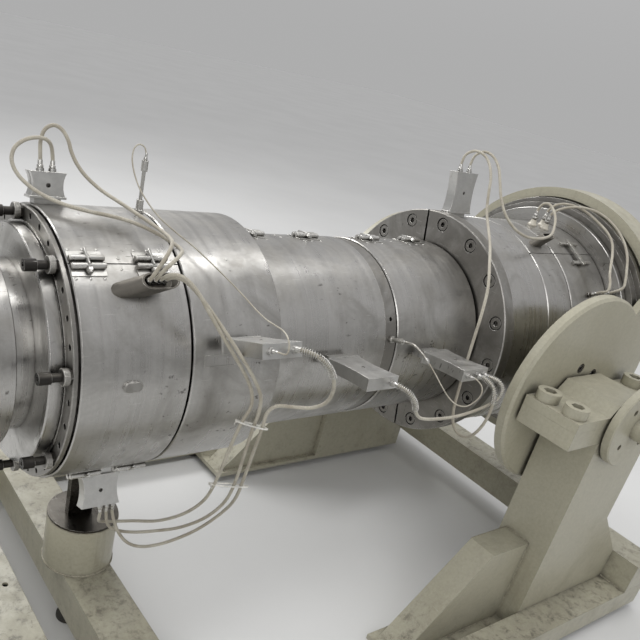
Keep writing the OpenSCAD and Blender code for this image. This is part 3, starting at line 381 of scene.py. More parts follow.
def make_smudges():
    tree, given, made = new_effect("smudges", {"Size": 6.0, "Cover": 0.5}, ["Mask", "Fine"])
    blot = cloud(tree, given["Size"], 7.0, 0.62, 1.1)
    level = minus(tree, BLOT_LEVEL, times(tree, given["Cover"], BLOT_SPAN))
    below, above = BLOT_EDGE
    feed(tree, made, {
        "Mask": span(tree, blot, minus(tree, level, below), plus(tree, level, above)),
        "Fine": cloud(tree, FINE_SCALE, 5.0, 0.7),
    })
    return tree


SMUDGES = make_smudges()
print(SMUDGES.name)

# %% [markdown]
# ### Scratches and scuffs
# A scratch is noise that is stretched into a long streak and cut off high. Three layers, each turned another
# way, cross like real ones. The dark scuffs are a shorter streak, kept to a few places by a larger noise.

# %% Fine scratches and dark scuffs
SCRATCH_LAYERS = (
    ((14, 260, 260), (20, 34, 18)),
    ((18, 230, 230), (-30, -48, 62)),
    ((240, 16, 240), (14, 25, -36)),
)
SCUFF_STRETCH = (30, 150, 30)
SCUFF_TURN = (35, 10, 50)
SCRATCH_LEVEL = 0.78
SCRATCH_SPAN = 0.12
SCRATCH_EDGE = 0.05


def make_scratches():
    tree, given, made = new_effect("scratches", {"Amount": 0.5}, ["Mask", "Scuffs"])
    level = minus(tree, SCRATCH_LEVEL, times(tree, given["Amount"], SCRATCH_SPAN))
    layers = []
    for stretch, turn in SCRATCH_LAYERS:
        streak = cloud(tree, 1.0, 1.5, 0.5, on=place_on(tree, stretch, turn))
        layers.append(span(tree, streak, level, plus(tree, level, SCRATCH_EDGE)))
    rub = cloud(tree, 1.0, 3.0, 0.6, on=place_on(tree, SCUFF_STRETCH, SCUFF_TURN))
    where = cloud(tree, 3.4, 2.0)
    feed(tree, made, {
        "Mask": calc(tree, "MAXIMUM", *layers),
        "Scuffs": times(tree, span(tree, rub, 0.64, 0.70), span(tree, where, 0.50, 0.60)),
    })
    return tree


SCRATCHES = make_scratches()
print(SCRATCHES.name)

# %% [markdown]
# ### Worn edges
# Hands and cloths rub the edges bright. The Bevel node rounds the normal near an edge, so where it differs
# from the true normal, there is an edge. The rounded normal is put out too, and softens every sharp corner.

# %% Worn and rounded edges
EDGE_START = 0.995
EDGE_FULL = 0.90


def make_edges():
    tree, given, made = new_effect("edges", {"Width": 0.0015, "Wear": 0.6}, ["Worn", "Normal"])
    rounded = tree.nodes.new("ShaderNodeBevel")
    rounded.samples = 4
    feed(tree, rounded.inputs, {"Radius": given["Width"]})
    dot = tree.nodes.new("ShaderNodeVectorMath")
    dot.operation = "DOT_PRODUCT"
    feed(tree, dot.inputs, {0: rounded.outputs[0], 1: surface_normal(tree)})
    bent = span(tree, dot.outputs["Value"], EDGE_START, EDGE_FULL)
    patchy = span(tree, cloud(tree, 60.0, 4.0), 0.38, 0.62, 0.25, 1.0)
    feed(tree, made, {"Worn": times(tree, bent, patchy, given["Wear"]), "Normal": rounded.outputs[0]})
    return tree


EDGES = make_edges()
print(EDGES.name)

# %% [markdown]
# ### Painted shade and dust
# Corners and creases get painted shade, and dust settles on what faces up. Ambient Occlusion finds the
# corners, and the Z of the normal finds the tops. Each is broken up by noise, because an even border looks
# painted on.

# %% Painted shade in crevices and settled dust
def make_dust_and_shade():
    tree, given, made = new_effect("dust_and_shade", {"Reach": 0.02, "Dust": 0.4}, ["CreviceShade", "Settled"])
    hollow = tree.nodes.new("ShaderNodeAmbientOcclusion")
    hollow.samples = 4
    feed(tree, hollow.inputs, {"Distance": given["Reach"]})
    broken = span(tree, cloud(tree, 24.0, 5.0), 0.3, 0.7, 0.55, 1.0)
    upward = span(tree, axes_of(tree, surface_normal(tree))["Z"], 0.35, 0.95)
    drift = span(tree, cloud(tree, 15.0, 6.0, 0.65), 0.35, 0.65)
    feed(tree, made, {
        # Painted shade: the corners and creases that the AO node finds, broken up by noise.
        "CreviceShade": times(tree, span(tree, hollow.outputs["AO"], 0.8, 0.25), broken),
        "Settled": times(tree, upward, drift, given["Dust"]),
    })
    return tree


DUST_AND_SHADE = make_dust_and_shade()
print(DUST_AND_SHADE.name)

# %% [markdown]
# ## Steel finishes
# Nearly all of the die is bare steel, but no two parts are worked alike: turned rings, thin drawn covers,
# black screws, zinc latches and cast boxes. One recipe lays oil, painted shade in crevices, dust, scratches
# and rubbed edges over a clean colour, one layer on the other. Each finish calls it with its own colours and
# strengths.

# %% Helpers for layers
def use_effect(tree, effect, **values):
    node = tree.nodes.new("ShaderNodeGroup")
    node.node_tree = effect
    feed(tree, node.inputs, values)
    return node.outputs


def blend_colours(tree, share, first, second):
    node = tree.nodes.new("ShaderNodeMix")
    node.data_type = "RGBA"
    feed(tree, node.inputs, {"Factor": share})
    places = [i for i, socket in enumerate(node.inputs) if socket.type == "RGBA"]
    for i, value in zip(places, (first, second)):
        feed(tree, node.inputs, {i: value if isinstance(value, bpy.types.NodeSocket) else (*value, 1)})
    return [s for s in node.outputs if s.type == "RGBA"][0]


def layered(tree, colour, layers):
    for share, following in layers:
        colour = blend_colours(tree, share, colour, following)
    return colour


def darker(colour, share):
    return [c * share for c in colour]


def raise_surface(tree, height, strength, depth, normal=None):
    node = tree.nodes.new("ShaderNodeBump")
    feed(tree, node.inputs, {"Height": height, "Strength": strength, "Distance": depth})
    if normal is not None:
        feed(tree, node.inputs, {"Normal": normal})
    return node.outputs[0]


def new_finish(name, metallic=0.0):
    finish = bpy.data.materials.new(name)
    finish.use_nodes = True
    shader = finish.node_tree.nodes["Principled BSDF"].inputs
    shader["Metallic"].default_value = metallic
    return finish, finish.node_tree, shader


print("layers ready")

# %% Recipe for bare metal
# The first colour is the painted shade in corners and creases of bare metal.
CREVICE_SHADE = (0.028, 0.024, 0.019)
GREY_DUST = (0.30, 0.28, 0.24)
DARK_SCUFF = (0.06, 0.055, 0.05)
BRIGHT_SCRATCH = (0.66, 0.65, 0.62)
RUBBED_STEEL = (0.78, 0.76, 0.71)
MARK_DEPTH = 0.0003
SCRATCH_DEPTH = 0.0002


def bare_metal(name, clean, oily, rough, oily_rough, smudge=0.5, fineness=300.0, marks=0.15, wave=0.0,
               scratch=0.4, wear=0.6, dust=0.25):
    finish, tree, shader = new_finish(name, metallic=1.0)
    lathe = use_effect(tree, LATHE_MARKS, Fineness=fineness)
    blots = use_effect(tree, SMUDGES, Size=4.5, Cover=smudge)
    lines = use_effect(tree, SCRATCHES, Amount=scratch)
    edge = use_effect(tree, EDGES, Width=0.0016, Wear=wear)
    dust_and_shade = use_effect(tree, DUST_AND_SHADE, Reach=0.03, Dust=dust)
    colour = layered(tree, darker(clean, 0.88), (
        (span(tree, lathe["Bands"], 0.3, 0.7), clean),
        (span(tree, blots["Fine"], 0.35, 0.7, 0.0, 0.30), darker(clean, 0.76)),
        (times(tree, blots["Mask"], 0.55), oily),
        # Painted shade: corners and creases found by ambient occlusion go nearly black.
        (times(tree, dust_and_shade["CreviceShade"], 0.85), CREVICE_SHADE),
        (dust_and_shade["Settled"], GREY_DUST),
        (times(tree, lines["Scuffs"], 0.7), DARK_SCUFF),
        (times(tree, lines["Mask"], 0.3), BRIGHT_SCRATCH),
        (edge["Worn"], RUBBED_STEEL),
    ))
    banded = span(tree, lathe["Bands"], 0.3, 0.7, rough - 0.05, rough + 0.07)
    oiled = times(tree, blots["Mask"], (oily_rough - rough) * 0.7)
    dull = times(tree, dust_and_shade["Settled"], 0.5)
    gloss = plus(tree, banded, oiled, dull, times(tree, blots["Fine"], 0.05))
    ground = raise_surface(tree, lathe["Height"], marks, MARK_DEPTH, edge["Normal"])
    if wave:
        dents = cloud(tree, 5.0, 2.0, 0.45, on=place_on(tree, (1.0, 2.2, 2.2)))
        ground = raise_surface(tree, dents, 1.0, wave, ground)
    cut = raise_surface(tree, lines["Mask"], 0.12, -SCRATCH_DEPTH, ground)
    feed(tree, shader, {"Base Color": colour, "Roughness": gloss, "Normal": cut})
    return finish


print("metal recipe ready")

# %% The metal finishes
METALS = {
    "turned_steel": dict(clean=(0.48, 0.47, 0.45), oily=(0.22, 0.21, 0.19), rough=0.24, oily_rough=0.36,
                         marks=0.2, fineness=420.0, smudge=0.42),
    "ground_ring": dict(clean=(0.35, 0.34, 0.32), oily=(0.15, 0.14, 0.125), rough=0.30, oily_rough=0.44,
                        marks=0.3, smudge=0.6, scratch=0.55, wear=1.0),
    "band_cover": dict(clean=(0.47, 0.46, 0.44), oily=(0.23, 0.22, 0.20), rough=0.25, oily_rough=0.38,
                       marks=0.05, fineness=160.0, smudge=0.45, wave=0.003, scratch=0.6, wear=1.0),
    # Dark steel for the outlets, and also painted shade for their shallow recessed mouths.
    "outlet_steel_and_shade": dict(clean=(0.23, 0.215, 0.19), oily=(0.12, 0.11, 0.095), rough=0.42, oily_rough=0.55,
                         marks=0.05, smudge=0.6, scratch=0.3, wear=1.0, dust=0.4),
    "zinc_latch": dict(clean=(0.62, 0.61, 0.58), oily=(0.30, 0.28, 0.25), rough=0.24, oily_rough=0.42,
                       marks=0.05, smudge=0.35, wear=1.0),
    "black_screw": dict(clean=(0.065, 0.061, 0.057), oily=(0.026, 0.024, 0.022), rough=0.33, oily_rough=0.5,
                        marks=0.1, smudge=0.6, wear=0.9, scratch=0.3),
    "worn_screw": dict(clean=(0.30, 0.29, 0.27), oily=(0.12, 0.11, 0.10), rough=0.34, oily_rough=0.5,
                       marks=0.1, smudge=0.5, wear=1.2, scratch=0.3),
    "cast_box": dict(clean=(0.60, 0.595, 0.575), oily=(0.33, 0.32, 0.295), rough=0.32, oily_rough=0.46,
                     marks=0.05, smudge=0.35, wave=0.0006, wear=0.9, dust=0.3),
    "oiled_plate": dict(clean=(0.10, 0.094, 0.085), oily=(0.030, 0.026, 0.021), rough=0.30, oily_rough=0.22,
                        marks=0.05, smudge=0.8, wear=0.5, dust=0.15),
}
FINISHES = {name: bare_metal(name, **values) for name, values in METALS.items()}
print(len(FINISHES), "metal finishes")

# %% [markdown]
# ## Frame paint
# The frame, the discs and the bearings are coated with a greenish cream gloss. The paint shows brush waves,
# oil that ran down the sides, black grime on the beams and chips along the edges. Painted masks by hand would
# follow the photo closely, but masks from noise and height cover all sides of the frame at once.

# %% Cream paint, clean above and grimy below
CREAM = (0.41, 0.39, 0.30)
WARM_SHARES = (0.62, 0.58, 0.5)
RUN_BROWN = (0.13, 0.11, 0.075)
BEAM_GRIME = (0.075, 0.065, 0.048)
BROWN_DUST = (0.20, 0.185, 0.15)
PAINT_CREVICE_SHADE = (0.05, 0.043, 0.032)
# The colour of the painted shade in the frame's corners and creases.
PALE_SCRATCH = (0.62, 0.60, 0.52)
CHIP = (0.20, 0.17, 0.14)
PAINT_ROUGHNESS = 0.29
DRIP_STRETCH = (26, 26, 1.6)
BRUSH_STRETCH = (1.0, 1.0, 0.5)
BRUSH_DEPTH = 0.0012


def frame_paint(name, full_grime, grime_end, runs, chips=0.5):
    finish, tree, shader = new_finish(name)
    edge = use_effect(tree, EDGES, Width=0.0022, Wear=chips)
    dust_and_shade = use_effect(tree, DUST_AND_SHADE, Reach=0.04, Dust=0.45)
    blots = use_effect(tree, SMUDGES, Size=3.2, Cover=0.42)
    lines = use_effect(tree, SCRATCHES, Amount=0.35)
    low = span(tree, axes_of(tree, place_on(tree))["Z"], grime_end, full_grime)
    lying = span(tree, axes_of(tree, surface_normal(tree))["Z"], 0.2, 0.9, 0.30, 1.0)
    patches = span(tree, cloud(tree, 24.0, 9.0, 0.78, 0.2), 0.47, 0.70)
    drips = span(tree, cloud(tree, 1.0, 4.0, 0.6, on=place_on(tree, DRIP_STRETCH)), 0.56, 0.80)
    colour = layered(tree, CREAM, (
        (span(tree, blots["Fine"], 0.3, 0.75), darker(CREAM, 0.86)),
        (times(tree, blots["Mask"], 0.25), [c * share for c, share in zip(CREAM, WARM_SHARES)]),
        (times(tree, drips, runs), RUN_BROWN),
        (times(tree, patches, low, lying), BEAM_GRIME),
        (times(tree, dust_and_shade["Settled"], 0.5), BROWN_DUST),
        # Painted shade: corners and creases found by ambient occlusion go dark brown.
        (times(tree, dust_and_shade["CreviceShade"], 0.8), PAINT_CREVICE_SHADE),
        (times(tree, lines["Mask"], 0.3), PALE_SCRATCH),
        (edge["Worn"], CHIP),
    ))
    gloss = plus(tree, times(tree, blots["Mask"], 0.12), times(tree, dust_and_shade["Settled"], 0.35), PAINT_ROUGHNESS)
    brushed = cloud(tree, 38.0, 3.0, 0.5, on=place_on(tree, BRUSH_STRETCH))
    waves = raise_surface(tree, brushed, 0.22, BRUSH_DEPTH, edge["Normal"])
    feed(tree, shader, {"Base Color": colour, "Roughness": gloss, "Normal": waves})
    return finish


FINISHES["cream_paint"] = frame_paint("cream_paint", full_grime=0.05, grime_end=0.34, runs=0.16)
FINISHES["cream_beam"] = frame_paint("cream_beam", full_grime=0.20, grime_end=0.45, runs=0.35, chips=0.8)
print("paint ready")

# %% [markdown]
# ## Woven sleeves
# The leads' sleeves are woven from glass yarn and greyed by handling. An image of a weave would need a
# seam along the lead. Two wave textures that cross at an angle give the yarn's bump without one.

# %% Woven sleeve
YARN_SCALE = 190
YARN_TURNS = ((0, 38, 40), (0, -38, -40))
YARN_SHADOW = (0.40, 0.37, 0.30)
YARN = (0.64, 0.61, 0.51)
SLEEVE_OIL = (0.27, 0.235, 0.175)
SLEEVE_GREY = (0.36, 0.34, 0.30)


def woven_sleeve():
    finish, tree, shader = new_finish("woven_sleeve")
    yarns = []
    for turn in YARN_TURNS:
        wave = tree.nodes.new("ShaderNodeTexWave")
        feed(tree, wave.inputs, {"Scale": YARN_SCALE, "Distortion": 0.8, "Vector": place_on(tree, turn=turn)})
        yarns.append(wave.outputs["Fac"])
    weave = times(tree, *yarns)
    blots = use_effect(tree, SMUDGES, Size=9.0, Cover=0.55)
    colour = layered(tree, YARN_SHADOW, (
        (span(tree, weave, 0.1, 0.8), YARN),
        (times(tree, blots["Mask"], 0.6), SLEEVE_OIL),
        (span(tree, blots["Fine"], 0.45, 0.75, 0.0, 0.4), SLEEVE_GREY),
    ))
    feed(tree, shader, {"Base Color": colour, "Roughness": 0.62, "Sheen Weight": 0.2})
    feed(tree, shader, {"Normal": raise_surface(tree, weave, 0.5, 0.0006)})
    return finish


FINISHES["woven_sleeve"] = woven_sleeve()
print("sleeve ready")

# %% [markdown]
# ## Ceramic, nylon, rubber and welds
# The insulators are glazed ceramic, the ties nylon, the feet black rubber on steel, and the welds grey over
# the paint. Each has a grain and two close colours, so one small recipe with its own numbers serves all.

# %% Finishes with a plain grain
def grained(name, colour, second, rough, scale, metallic=0.0, depth=0.0003):
    finish, tree, shader = new_finish(name, metallic)
    grain = cloud(tree, scale, 6.0, 0.65)
    blots = use_effect(tree, SMUDGES, Size=22.0, Cover=0.5)
    soiled = layered(tree, colour, (
        (span(tree, grain, 0.35, 0.7), second),
        (times(tree, blots["Mask"], 0.5), darker(second, 0.5)),
    ))
    gloss = span(tree, grain, 0.3, 0.7, rough - 0.06, rough + 0.08)
    pores = raise_surface(tree, grain, 0.35, depth)
    feed(tree, shader, {"Base Color": soiled, "Roughness": gloss, "Normal": pores})
    return finish


GRAINED = {
    "ceramic": dict(colour=(0.66, 0.63, 0.55), second=(0.52, 0.48, 0.40), rough=0.28, scale=60.0),
    "nylon": dict(colour=(0.78, 0.77, 0.72), second=(0.66, 0.64, 0.58), rough=0.42, scale=140.0),
    "foot_black": dict(colour=(0.035, 0.034, 0.032), second=(0.075, 0.068, 0.058), rough=0.55, scale=90.0),
    "spring_steel": dict(colour=(0.50, 0.48, 0.44), second=(0.36, 0.34, 0.30), rough=0.30, scale=120.0,
                         metallic=1.0),
    "weld_grey": dict(colour=(0.40, 0.375, 0.285), second=(0.20, 0.18, 0.135), rough=0.48, scale=260.0,
                      depth=0.0008),
}
for name, values in GRAINED.items():
    FINISHES[name] = grained(name, **values)
print(len(FINISHES), "finishes")

# %% [markdown]
# ## Dressing the solids
# Each solid keeps its shape and only gets a material. The list goes from finish to solids, because it is
# shorter that way round, and it shows at a glance which parts of the die are worked alike.

# %% Give every solid its finish
WORN_BY = {
    "turned_steel": "mandrel lip_ring face_plate front_body neck_body rear_body rear_plate rear_plugs shafts "
                    "inlet_neck",
    "ground_ring": "clamp_ring sensor_ring split_flange backing_ring",
    "band_cover": "front_band_1 front_band_2 neck_band_1 neck_band_2 rear_band_1 rear_band_2",
    # The outlets' dark finish is partly painted shade for their recessed mouths.
    "outlet_steel_and_shade": "cable_outlets",
    "zinc_latch": "front_latches neck_latches rear_latches neck_sensor top_sensor step_bolts",
    "black_screw": "adjusting_screws disc_bolts",
    "worn_screw": "flange_bolts",
    "cast_box": "upright_boxes side_boxes",
    "oiled_plate": "post_cap post_fin",
    "cream_paint": "housing side_discs end_discs bearing_bases bearing_caps bearing_screws pedestal_near "
                   "pedestal_far",
    "cream_beam": "side_rail_near side_rail_far rail_caps cross_beams post",
    "foot_black": "feet",
}


def coat(piece, finish):
    piece.data.materials.clear()
    piece.data.materials.append(FINISHES[finish])


for finish, names in WORN_BY.items():
    for name in names.split():
        coat(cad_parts[name], finish)
for sleeve in leads.values():
    coat(sleeve, "woven_sleeve")
print(sum(len(names.split()) for names in WORN_BY.values()), "solids coated")

# %% [markdown]
# ## Placing small parts on the die
# Most small parts sit at a distance along the die and at an angle around it. A matrix for each place, with
# its Z axis pointing away from the die, lets one small mesh be set down many times in one piece. Copied
# objects would do too, but one piece is lighter. Each part is made of rings of corners joined by faces,
# whether the ring is a circle, a gear or a rectangle.

# %% Places on the die
BAND_R = 0.366
NECK_R = 0.310
REAR_R = 0.410


def on_die(x, angle, radius):
    a = math.radians(angle)
    out = Vector((0, -math.cos(a), math.sin(a)))
    along = Vector((1, 0, 0))
    return axes_matrix(along, out.cross(along), out, Vector((x, 0, AXIS_HEIGHT)) + out * radius)


def facing(place, direction):
    turn = Vector(direction).normalized().to_track_quat("Z", "Y").to_matrix().to_4x4()
    return Matrix.Translation(place) @ turn


print("places ready")

# %% Rings and the skin between them
def circle(radius, height, count):
    angles = (2 * math.pi * k / count for k in range(count))
    return [Vector((radius * math.cos(a), radius * math.sin(a), height)) for a in angles]


def new_ring(bm, points, matrix=Matrix()):
    return [bm.verts.new(matrix @ Vector(point)) for point in points]


def skin(bm, rings, closed=False, caps=True):
    for low, high in zip(rings, rings[1:] + rings[:1] if closed else rings[1:]):
        count = max(len(low), len(high))
        for k in range(count):
            n = (k + 1) % count
            corners = (low[k % len(low)], low[n % len(low)], high[n % len(high)], high[k % len(high)])
            bm.faces.new(list(dict.fromkeys(corners)))
    if caps and not closed:
        bm.faces.new(rings[0])
        bm.faces.new(rings[-1])


def turned_shape(bm, profile, matrix, sides):
    rings = [new_ring(bm, circle(r, height, sides if r else 1), matrix) for r, height in profile]
    skin(bm, rings, caps=False)


print("rings ready")

# %% A piece with its finish
SHARP_ANGLE = 35


def make_piece(name, build, finish, smooth=True):
    bm = bmesh.new()
    build(bm)
    bmesh.ops.recalc_face_normals(bm, faces=bm.faces)
    mesh = bpy.data.meshes.new(name)
    bm.to_mesh(mesh)
    bm.free()
    for face in mesh.polygons:
        face.use_smooth = smooth
    if smooth:
        mesh.set_sharp_from_angle(angle=math.radians(SHARP_ANGLE))
    piece = add_object(name, mesh)
    coat(piece, finish)
    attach(piece, "root")
    print(name, len(mesh.polygons), "faces")


print("piece maker ready")

# %% [markdown]
# ## Ferrules
# A lead enters its box through a gland: a round collar, then a short tapered ferrule that holds the sleeve.
# They could be separate cylinders, but one profile that is turned around the lead's own direction gives
# both, and it fits every gland at once.

# %% Ferrules at both ends of each lead
# Each corner of the profile is a distance out from the lead and a height above its end.
FERRULE = ((0.0030, 0.0002), (0.0034, 0.002), (0.0030, 0.007), (0.0014, 0.009), (0.0012, 0.018),
           (0.0004, 0.020))
END_STEPS = 3


def ferrules(bm):
    for name, path in paths.items():
        wall = [(thickness(name) / 2 + out, height) for out, height in FERRULE]
        profile = [(0, wall[0][1])] + wall + [(0, wall[-1][1])]
        for end, inner in ((path[0], path[END_STEPS]), (path[-1], path[-1 - END_STEPS])):
            turned_shape(bm, profile, facing(end, inner - end), sides=20)


make_piece("lead_ferrules", ferrules, "zinc_latch")

# %% [markdown]
# ## Kink springs
# Where the side leads bend out of their boxes, a coil spring keeps them from kinking. A screw modifier would
# make a straight spring only, so the coil is wound around the lead's own path, with twelve points a turn.

# %% Coils wound along a path
FIRST_SIDE = Vector((0.3, 0.5, 0.8))


def coil_around(path, start, end, radius, pitch, per_turn=12):
    walked = walked_along(path)
    count = int((end - start) / pitch * per_turn)
    side = FIRST_SIDE
    points = []
    i = 0
    for k in range(count + 1):
        s = start + (end - start) * k / count
        while walked[i + 1] < s and i < len(path) - 2:
            i += 1
        ahead = (path[i + 1] - path[i]).normalized()
        centre = path[i] + ahead * (s - walked[i])
        side = (side - ahead * side.dot(ahead)).normalized()
        a = 2 * math.pi * k / per_turn
        points.append(centre + radius * (math.cos(a) * side + math.sin(a) * ahead.cross(side)))
    return points


SPRINGS = (
    ("spring_box_1", "lead_low_3", False, 0.150),
    ("spring_box_2", "lead_side", False, 0.120),
    ("spring_box_3", "lead_side", True, 0.110),
    ("spring_box_3b", "lead_rear", True, 0.120),
)
SPRING_START = 0.020
COIL_RADIUS = 0.0088
COIL_PITCH = 0.0056
COIL_WIRE = 0.0022
for name, lead, from_end, end in SPRINGS:
    path = list(reversed(paths[lead])) if from_end else paths[lead]
    coil = coil_around(path, SPRING_START, end, COIL_RADIUS, COIL_PITCH)
    spring = wire(name, coil, COIL_WIRE, sides=1)
    coat(spring, "zinc_latch")
    print(name, round((end - SPRING_START) / COIL_PITCH), "turns")

# %% [markdown]
# ## The sensor's armour
# The thin wire of the neck sensor leaves its plug in a braided steel hose that ends in a crimped ferrule. A
# braid could be woven from curves, but it is finer than the picture shows, so a thicker wire with a grained
# steel finish stands for it. It follows the first part of the lead's own path, so both bend together.

# %% Braided hose and its crimp
HOSE = 0.0085
HOSE_START = 0.010
HOSE_END = 0.105
CRIMP = ((0, 0), (0.0052, 0), (0.0056, 0.0010), (0.0056, 0.0130), (0.0046, 0.0150), (0.0030, 0.0190),
         (0, 0.0190))
CRIMP_OVERLAP = 0.003

wire_path = paths["lead_sensor_neck"]
hose_path = [p for p, s in zip(wire_path, walked_along(wire_path)) if HOSE_START <= s <= HOSE_END]
armour = wire("sensor_hose", hose_path, HOSE)
coat(armour, "spring_steel")


def hose_crimp(bm):
    onward = (hose_path[-1] - hose_path[-2]).normalized()
    turned_shape(bm, CRIMP, facing(hose_path[-1] - onward * CRIMP_OVERLAP, onward), sides=20)


make_piece("hose_crimp", hose_crimp, "zinc_latch")

# %% [markdown]
# ## Cable ties
# Two white ties bundle the leads. A tie is a flat strap in a loop with a small square lock and a cut tail.
# A bevelled curve would twist the strap, so the loop is an oval swept by a rectangle, which stays flat.

# %% One tie
STRAP_WIDTH = 0.0045
STRAP_THICKNESS = 0.0012
STRAP_CORNERS = ((-1, 0), (1, 0), (1, 1), (-1, 1))
LOOP_STEPS = 40
LOCK_SIZE = (0.006, 0.0075, 0.0065)
LOCK_OUT = 0.003
TAIL_SIZE = (0.0012, 0.026, STRAP_WIDTH)
TAIL_OUT = 0.004
TAIL_UP = 0.014
TIE_NORMAL = Vector((0.1, 0.1, 1)).normalized()


def tie_loop(bm, centre, wide, high):
    half = wide.length
    across = wide.normalized()
    across = (across - TIE_NORMAL * across.dot(TIE_NORMAL)).normalized()
    up = TIE_NORMAL.cross(across)
    rings = []
    for k in range(LOOP_STEPS):
        a = 2 * math.pi * k / LOOP_STEPS
        spoke = across * math.cos(a) * half + up * math.sin(a) * high
        outward = (across * math.cos(a) / half + up * math.sin(a) / high).normalized()
        corners = [outward * STRAP_THICKNESS * t + TIE_NORMAL * STRAP_WIDTH / 2 * w for w, t in STRAP_CORNERS]
        rings.append(new_ring(bm, [centre + spoke + corner for corner in corners]))
    skin(bm, rings, closed=True)
    turn = axes_matrix(across, up, TIE_NORMAL)
    for place, size in (
        (centre + across * (half + LOCK_OUT), LOCK_SIZE),
        (centre + across * (half + TAIL_OUT) + up * TAIL_UP, TAIL_SIZE),
    ):
        block = Matrix.Translation(place) @ turn @ Matrix.Diagonal((*size, 1))
        bmesh.ops.create_cube(bm, size=1, matrix=block)


print("tie ready")

# %% Ties around the bundle of low leads
BUNDLE = ("lead_low_1", "lead_low_2", "lead_low_3")
BUNDLE_HEIGHTS = (1.015, 0.760)
BUNDLE_X = 0.1
BUNDLE_SLACK = 0.010
LOOP_SLACK = 0.0035


def ties(bm):
    for height in BUNDLE_HEIGHTS:
        spots = []
        for name in BUNDLE:
            hanging = [p for p in paths[name] if p.x >= BUNDLE_X]
            spots.append(min(hanging, key=lambda p: abs(p.z - height)))
        centre = sum(spots, Vector()) / len(spots)
        far = max(spots, key=lambda p: (p - centre).length)
        reach = far - centre
        tie_loop(bm, centre, reach + reach.normalized() * BUNDLE_SLACK, LEAD / 2 + LOOP_SLACK)


make_piece("cable_ties", ties, "nylon", smooth=False)

# %% [markdown]
# ## Spot welds
# Each latch holds its band by two plates, and they and the seams are spot welded to the cover. A weld shows
# as a low dome. A bump would do from far away, but a turned dome catches a small highlight from every side.

# %% Spot welds at the latch plates and seams
DOME = ((0.0040, 0), (0.0040, 0.0004), (0.0034, 0.0012), (0.0020, 0.0017), (0, 0.0019))
DOME_SINK = 0.0001
LATCHES = [(x, 55, BAND_R) for x in (-0.186, -0.016)] + [(x, 305, BAND_R) for x in (-0.122, 0.014)]
LATCHES += [(x, angle, NECK_R) for x in (0.446, 0.666, 0.949, 1.159) for angle in (96, 276)]
LATCH_WELDS = (-0.036, 0.0, 0.036)
LATCH_WELD_OFFSET = 0.0415
SEAMS = [(-0.101, 55, BAND_R), (0.214, 55, BAND_R), (0.556, 96, NECK_R), (1.054, 96, NECK_R)]
SEAM_WELD_OFFSET = 0.016


def spot_welds(bm):
    spots = [(*seam, SEAM_WELD_OFFSET) for seam in SEAMS]
    for x, angle, radius in LATCHES:
        spots += [(x + along, angle, radius, LATCH_WELD_OFFSET) for along in LATCH_WELDS]
    for x, angle, radius, offset in spots:
        for side in (-1, 1):
            beside = angle + side * math.degrees(offset / radius)
            turned_shape(bm, DOME, on_die(x, beside, radius - DOME_SINK), sides=12)


make_piece("spot_welds", spot_welds, "zinc_latch")

# %% [markdown]
# ## Draw rods and roller sleeves
# A latch has two rollers on pins, and a rod across them pulls the band shut. The solids have each roller as
# one plain bar. An open tube slipped over each half of it leaves the bare bar where the rod crosses.

# %% Rods and sleeves of the latches
ROD = ((0, 0), (0.0026, 0), (0.0030, 0.0006), (0.0030, 0.0480), (0, 0.0480))
ROD_FROM = (0, 0.037, 0.0125)
ROD_TO = (0, -0.012, 0.0150)
SLEEVE = ((0.0062, 0), (0.0072, 0), (0.0078, 0.0008), (0.0078, 0.0352), (0.0072, 0.0360), (0.0062, 0.0360))
SLEEVE_START = 0.0058
ROLLER_SPREAD = {BAND_R: 0.011, NECK_R: 0.009}
ROLLER_HEIGHT = {BAND_R: 0.0080, NECK_R: 0.0075}


def draw_rods(bm):
    for latch in LATCHES:
        place = on_die(*latch)
        start, end = place @ Vector(ROD_FROM), place @ Vector(ROD_TO)
        turned_shape(bm, ROD, facing(start, end - start), sides=14)


def roller_sleeves(bm):
    for x, angle, radius in LATCHES:
        for side in (-1, 1):
            roller = Matrix.Translation((0, side * ROLLER_SPREAD[radius], ROLLER_HEIGHT[radius]))
            for end in (-90, 90):
                turn = Matrix.Rotation(math.radians(end), 4, "Y") @ Matrix.Translation((0, 0, SLEEVE_START))
                turned_shape(bm, SLEEVE, on_die(x, angle, radius) @ roller @ turn, sides=24)


make_piece("draw_rods", draw_rods, "zinc_latch")
make_piece("roller_sleeves", roller_sleeves, "zinc_latch")

# %% [markdown]
# ## Box screws
# Each terminal box is closed with one screw through the middle of its broad faces. Its low domed head is
# turned like the welds, and set into the face a little, so that no gap shows below it.

# %% One screw in each broad face of a terminal box
# A row holds the place along the die, the angle around it, the radius where the box starts, and its length.
BOXES = (
    (-0.192, 100, 0.380, 0.066),
    (-0.025, -74, 0.402, 0.100),
    (1.400, 98, 0.422, 0.150),
    (0.186, 21, 0.402, 0.175),
    (0.603, 7, 0.346, 0.175),
    (1.019, 6, 0.346, 0.175),
)
BOX_DEPTH = 0.038
HEAD = ((0.0055, -0.0045), (0.0055, -0.0005), (0.0050, 0.0008), (0.0030, 0.0016), (0, 0.0018))
HEAD_SINK = 0.0005


def box_screws(bm):
    for x, angle, start, length in BOXES:
        for side in (-1, 1):
            turn = Matrix.Rotation(-side * math.pi / 2, 4, "X")
            out = Matrix.Translation((0, 0, BOX_DEPTH / 2 - HEAD_SINK))
            turned_shape(bm, HEAD, on_die(x, angle, start + length / 2) @ turn @ out, sides=20)


make_piece("box_screws", box_screws, "black_screw")

# %% [markdown]
# ## Box lids
# A terminal box is cast in two halves. The joint between them shows as a thin rib around the waisted sides.
# A bump cannot stand proud of an edge, so the rib is a small strip that follows the waist.

# %% Ribs around the box sides
BOX_WIDTH = 0.096
WAIST = 0.009
RIB = 0.0011
RIB_SINK = 0.0006
RIB_START = 0.007
RIB_STOP = 0.002
RIB_STEPS = 16


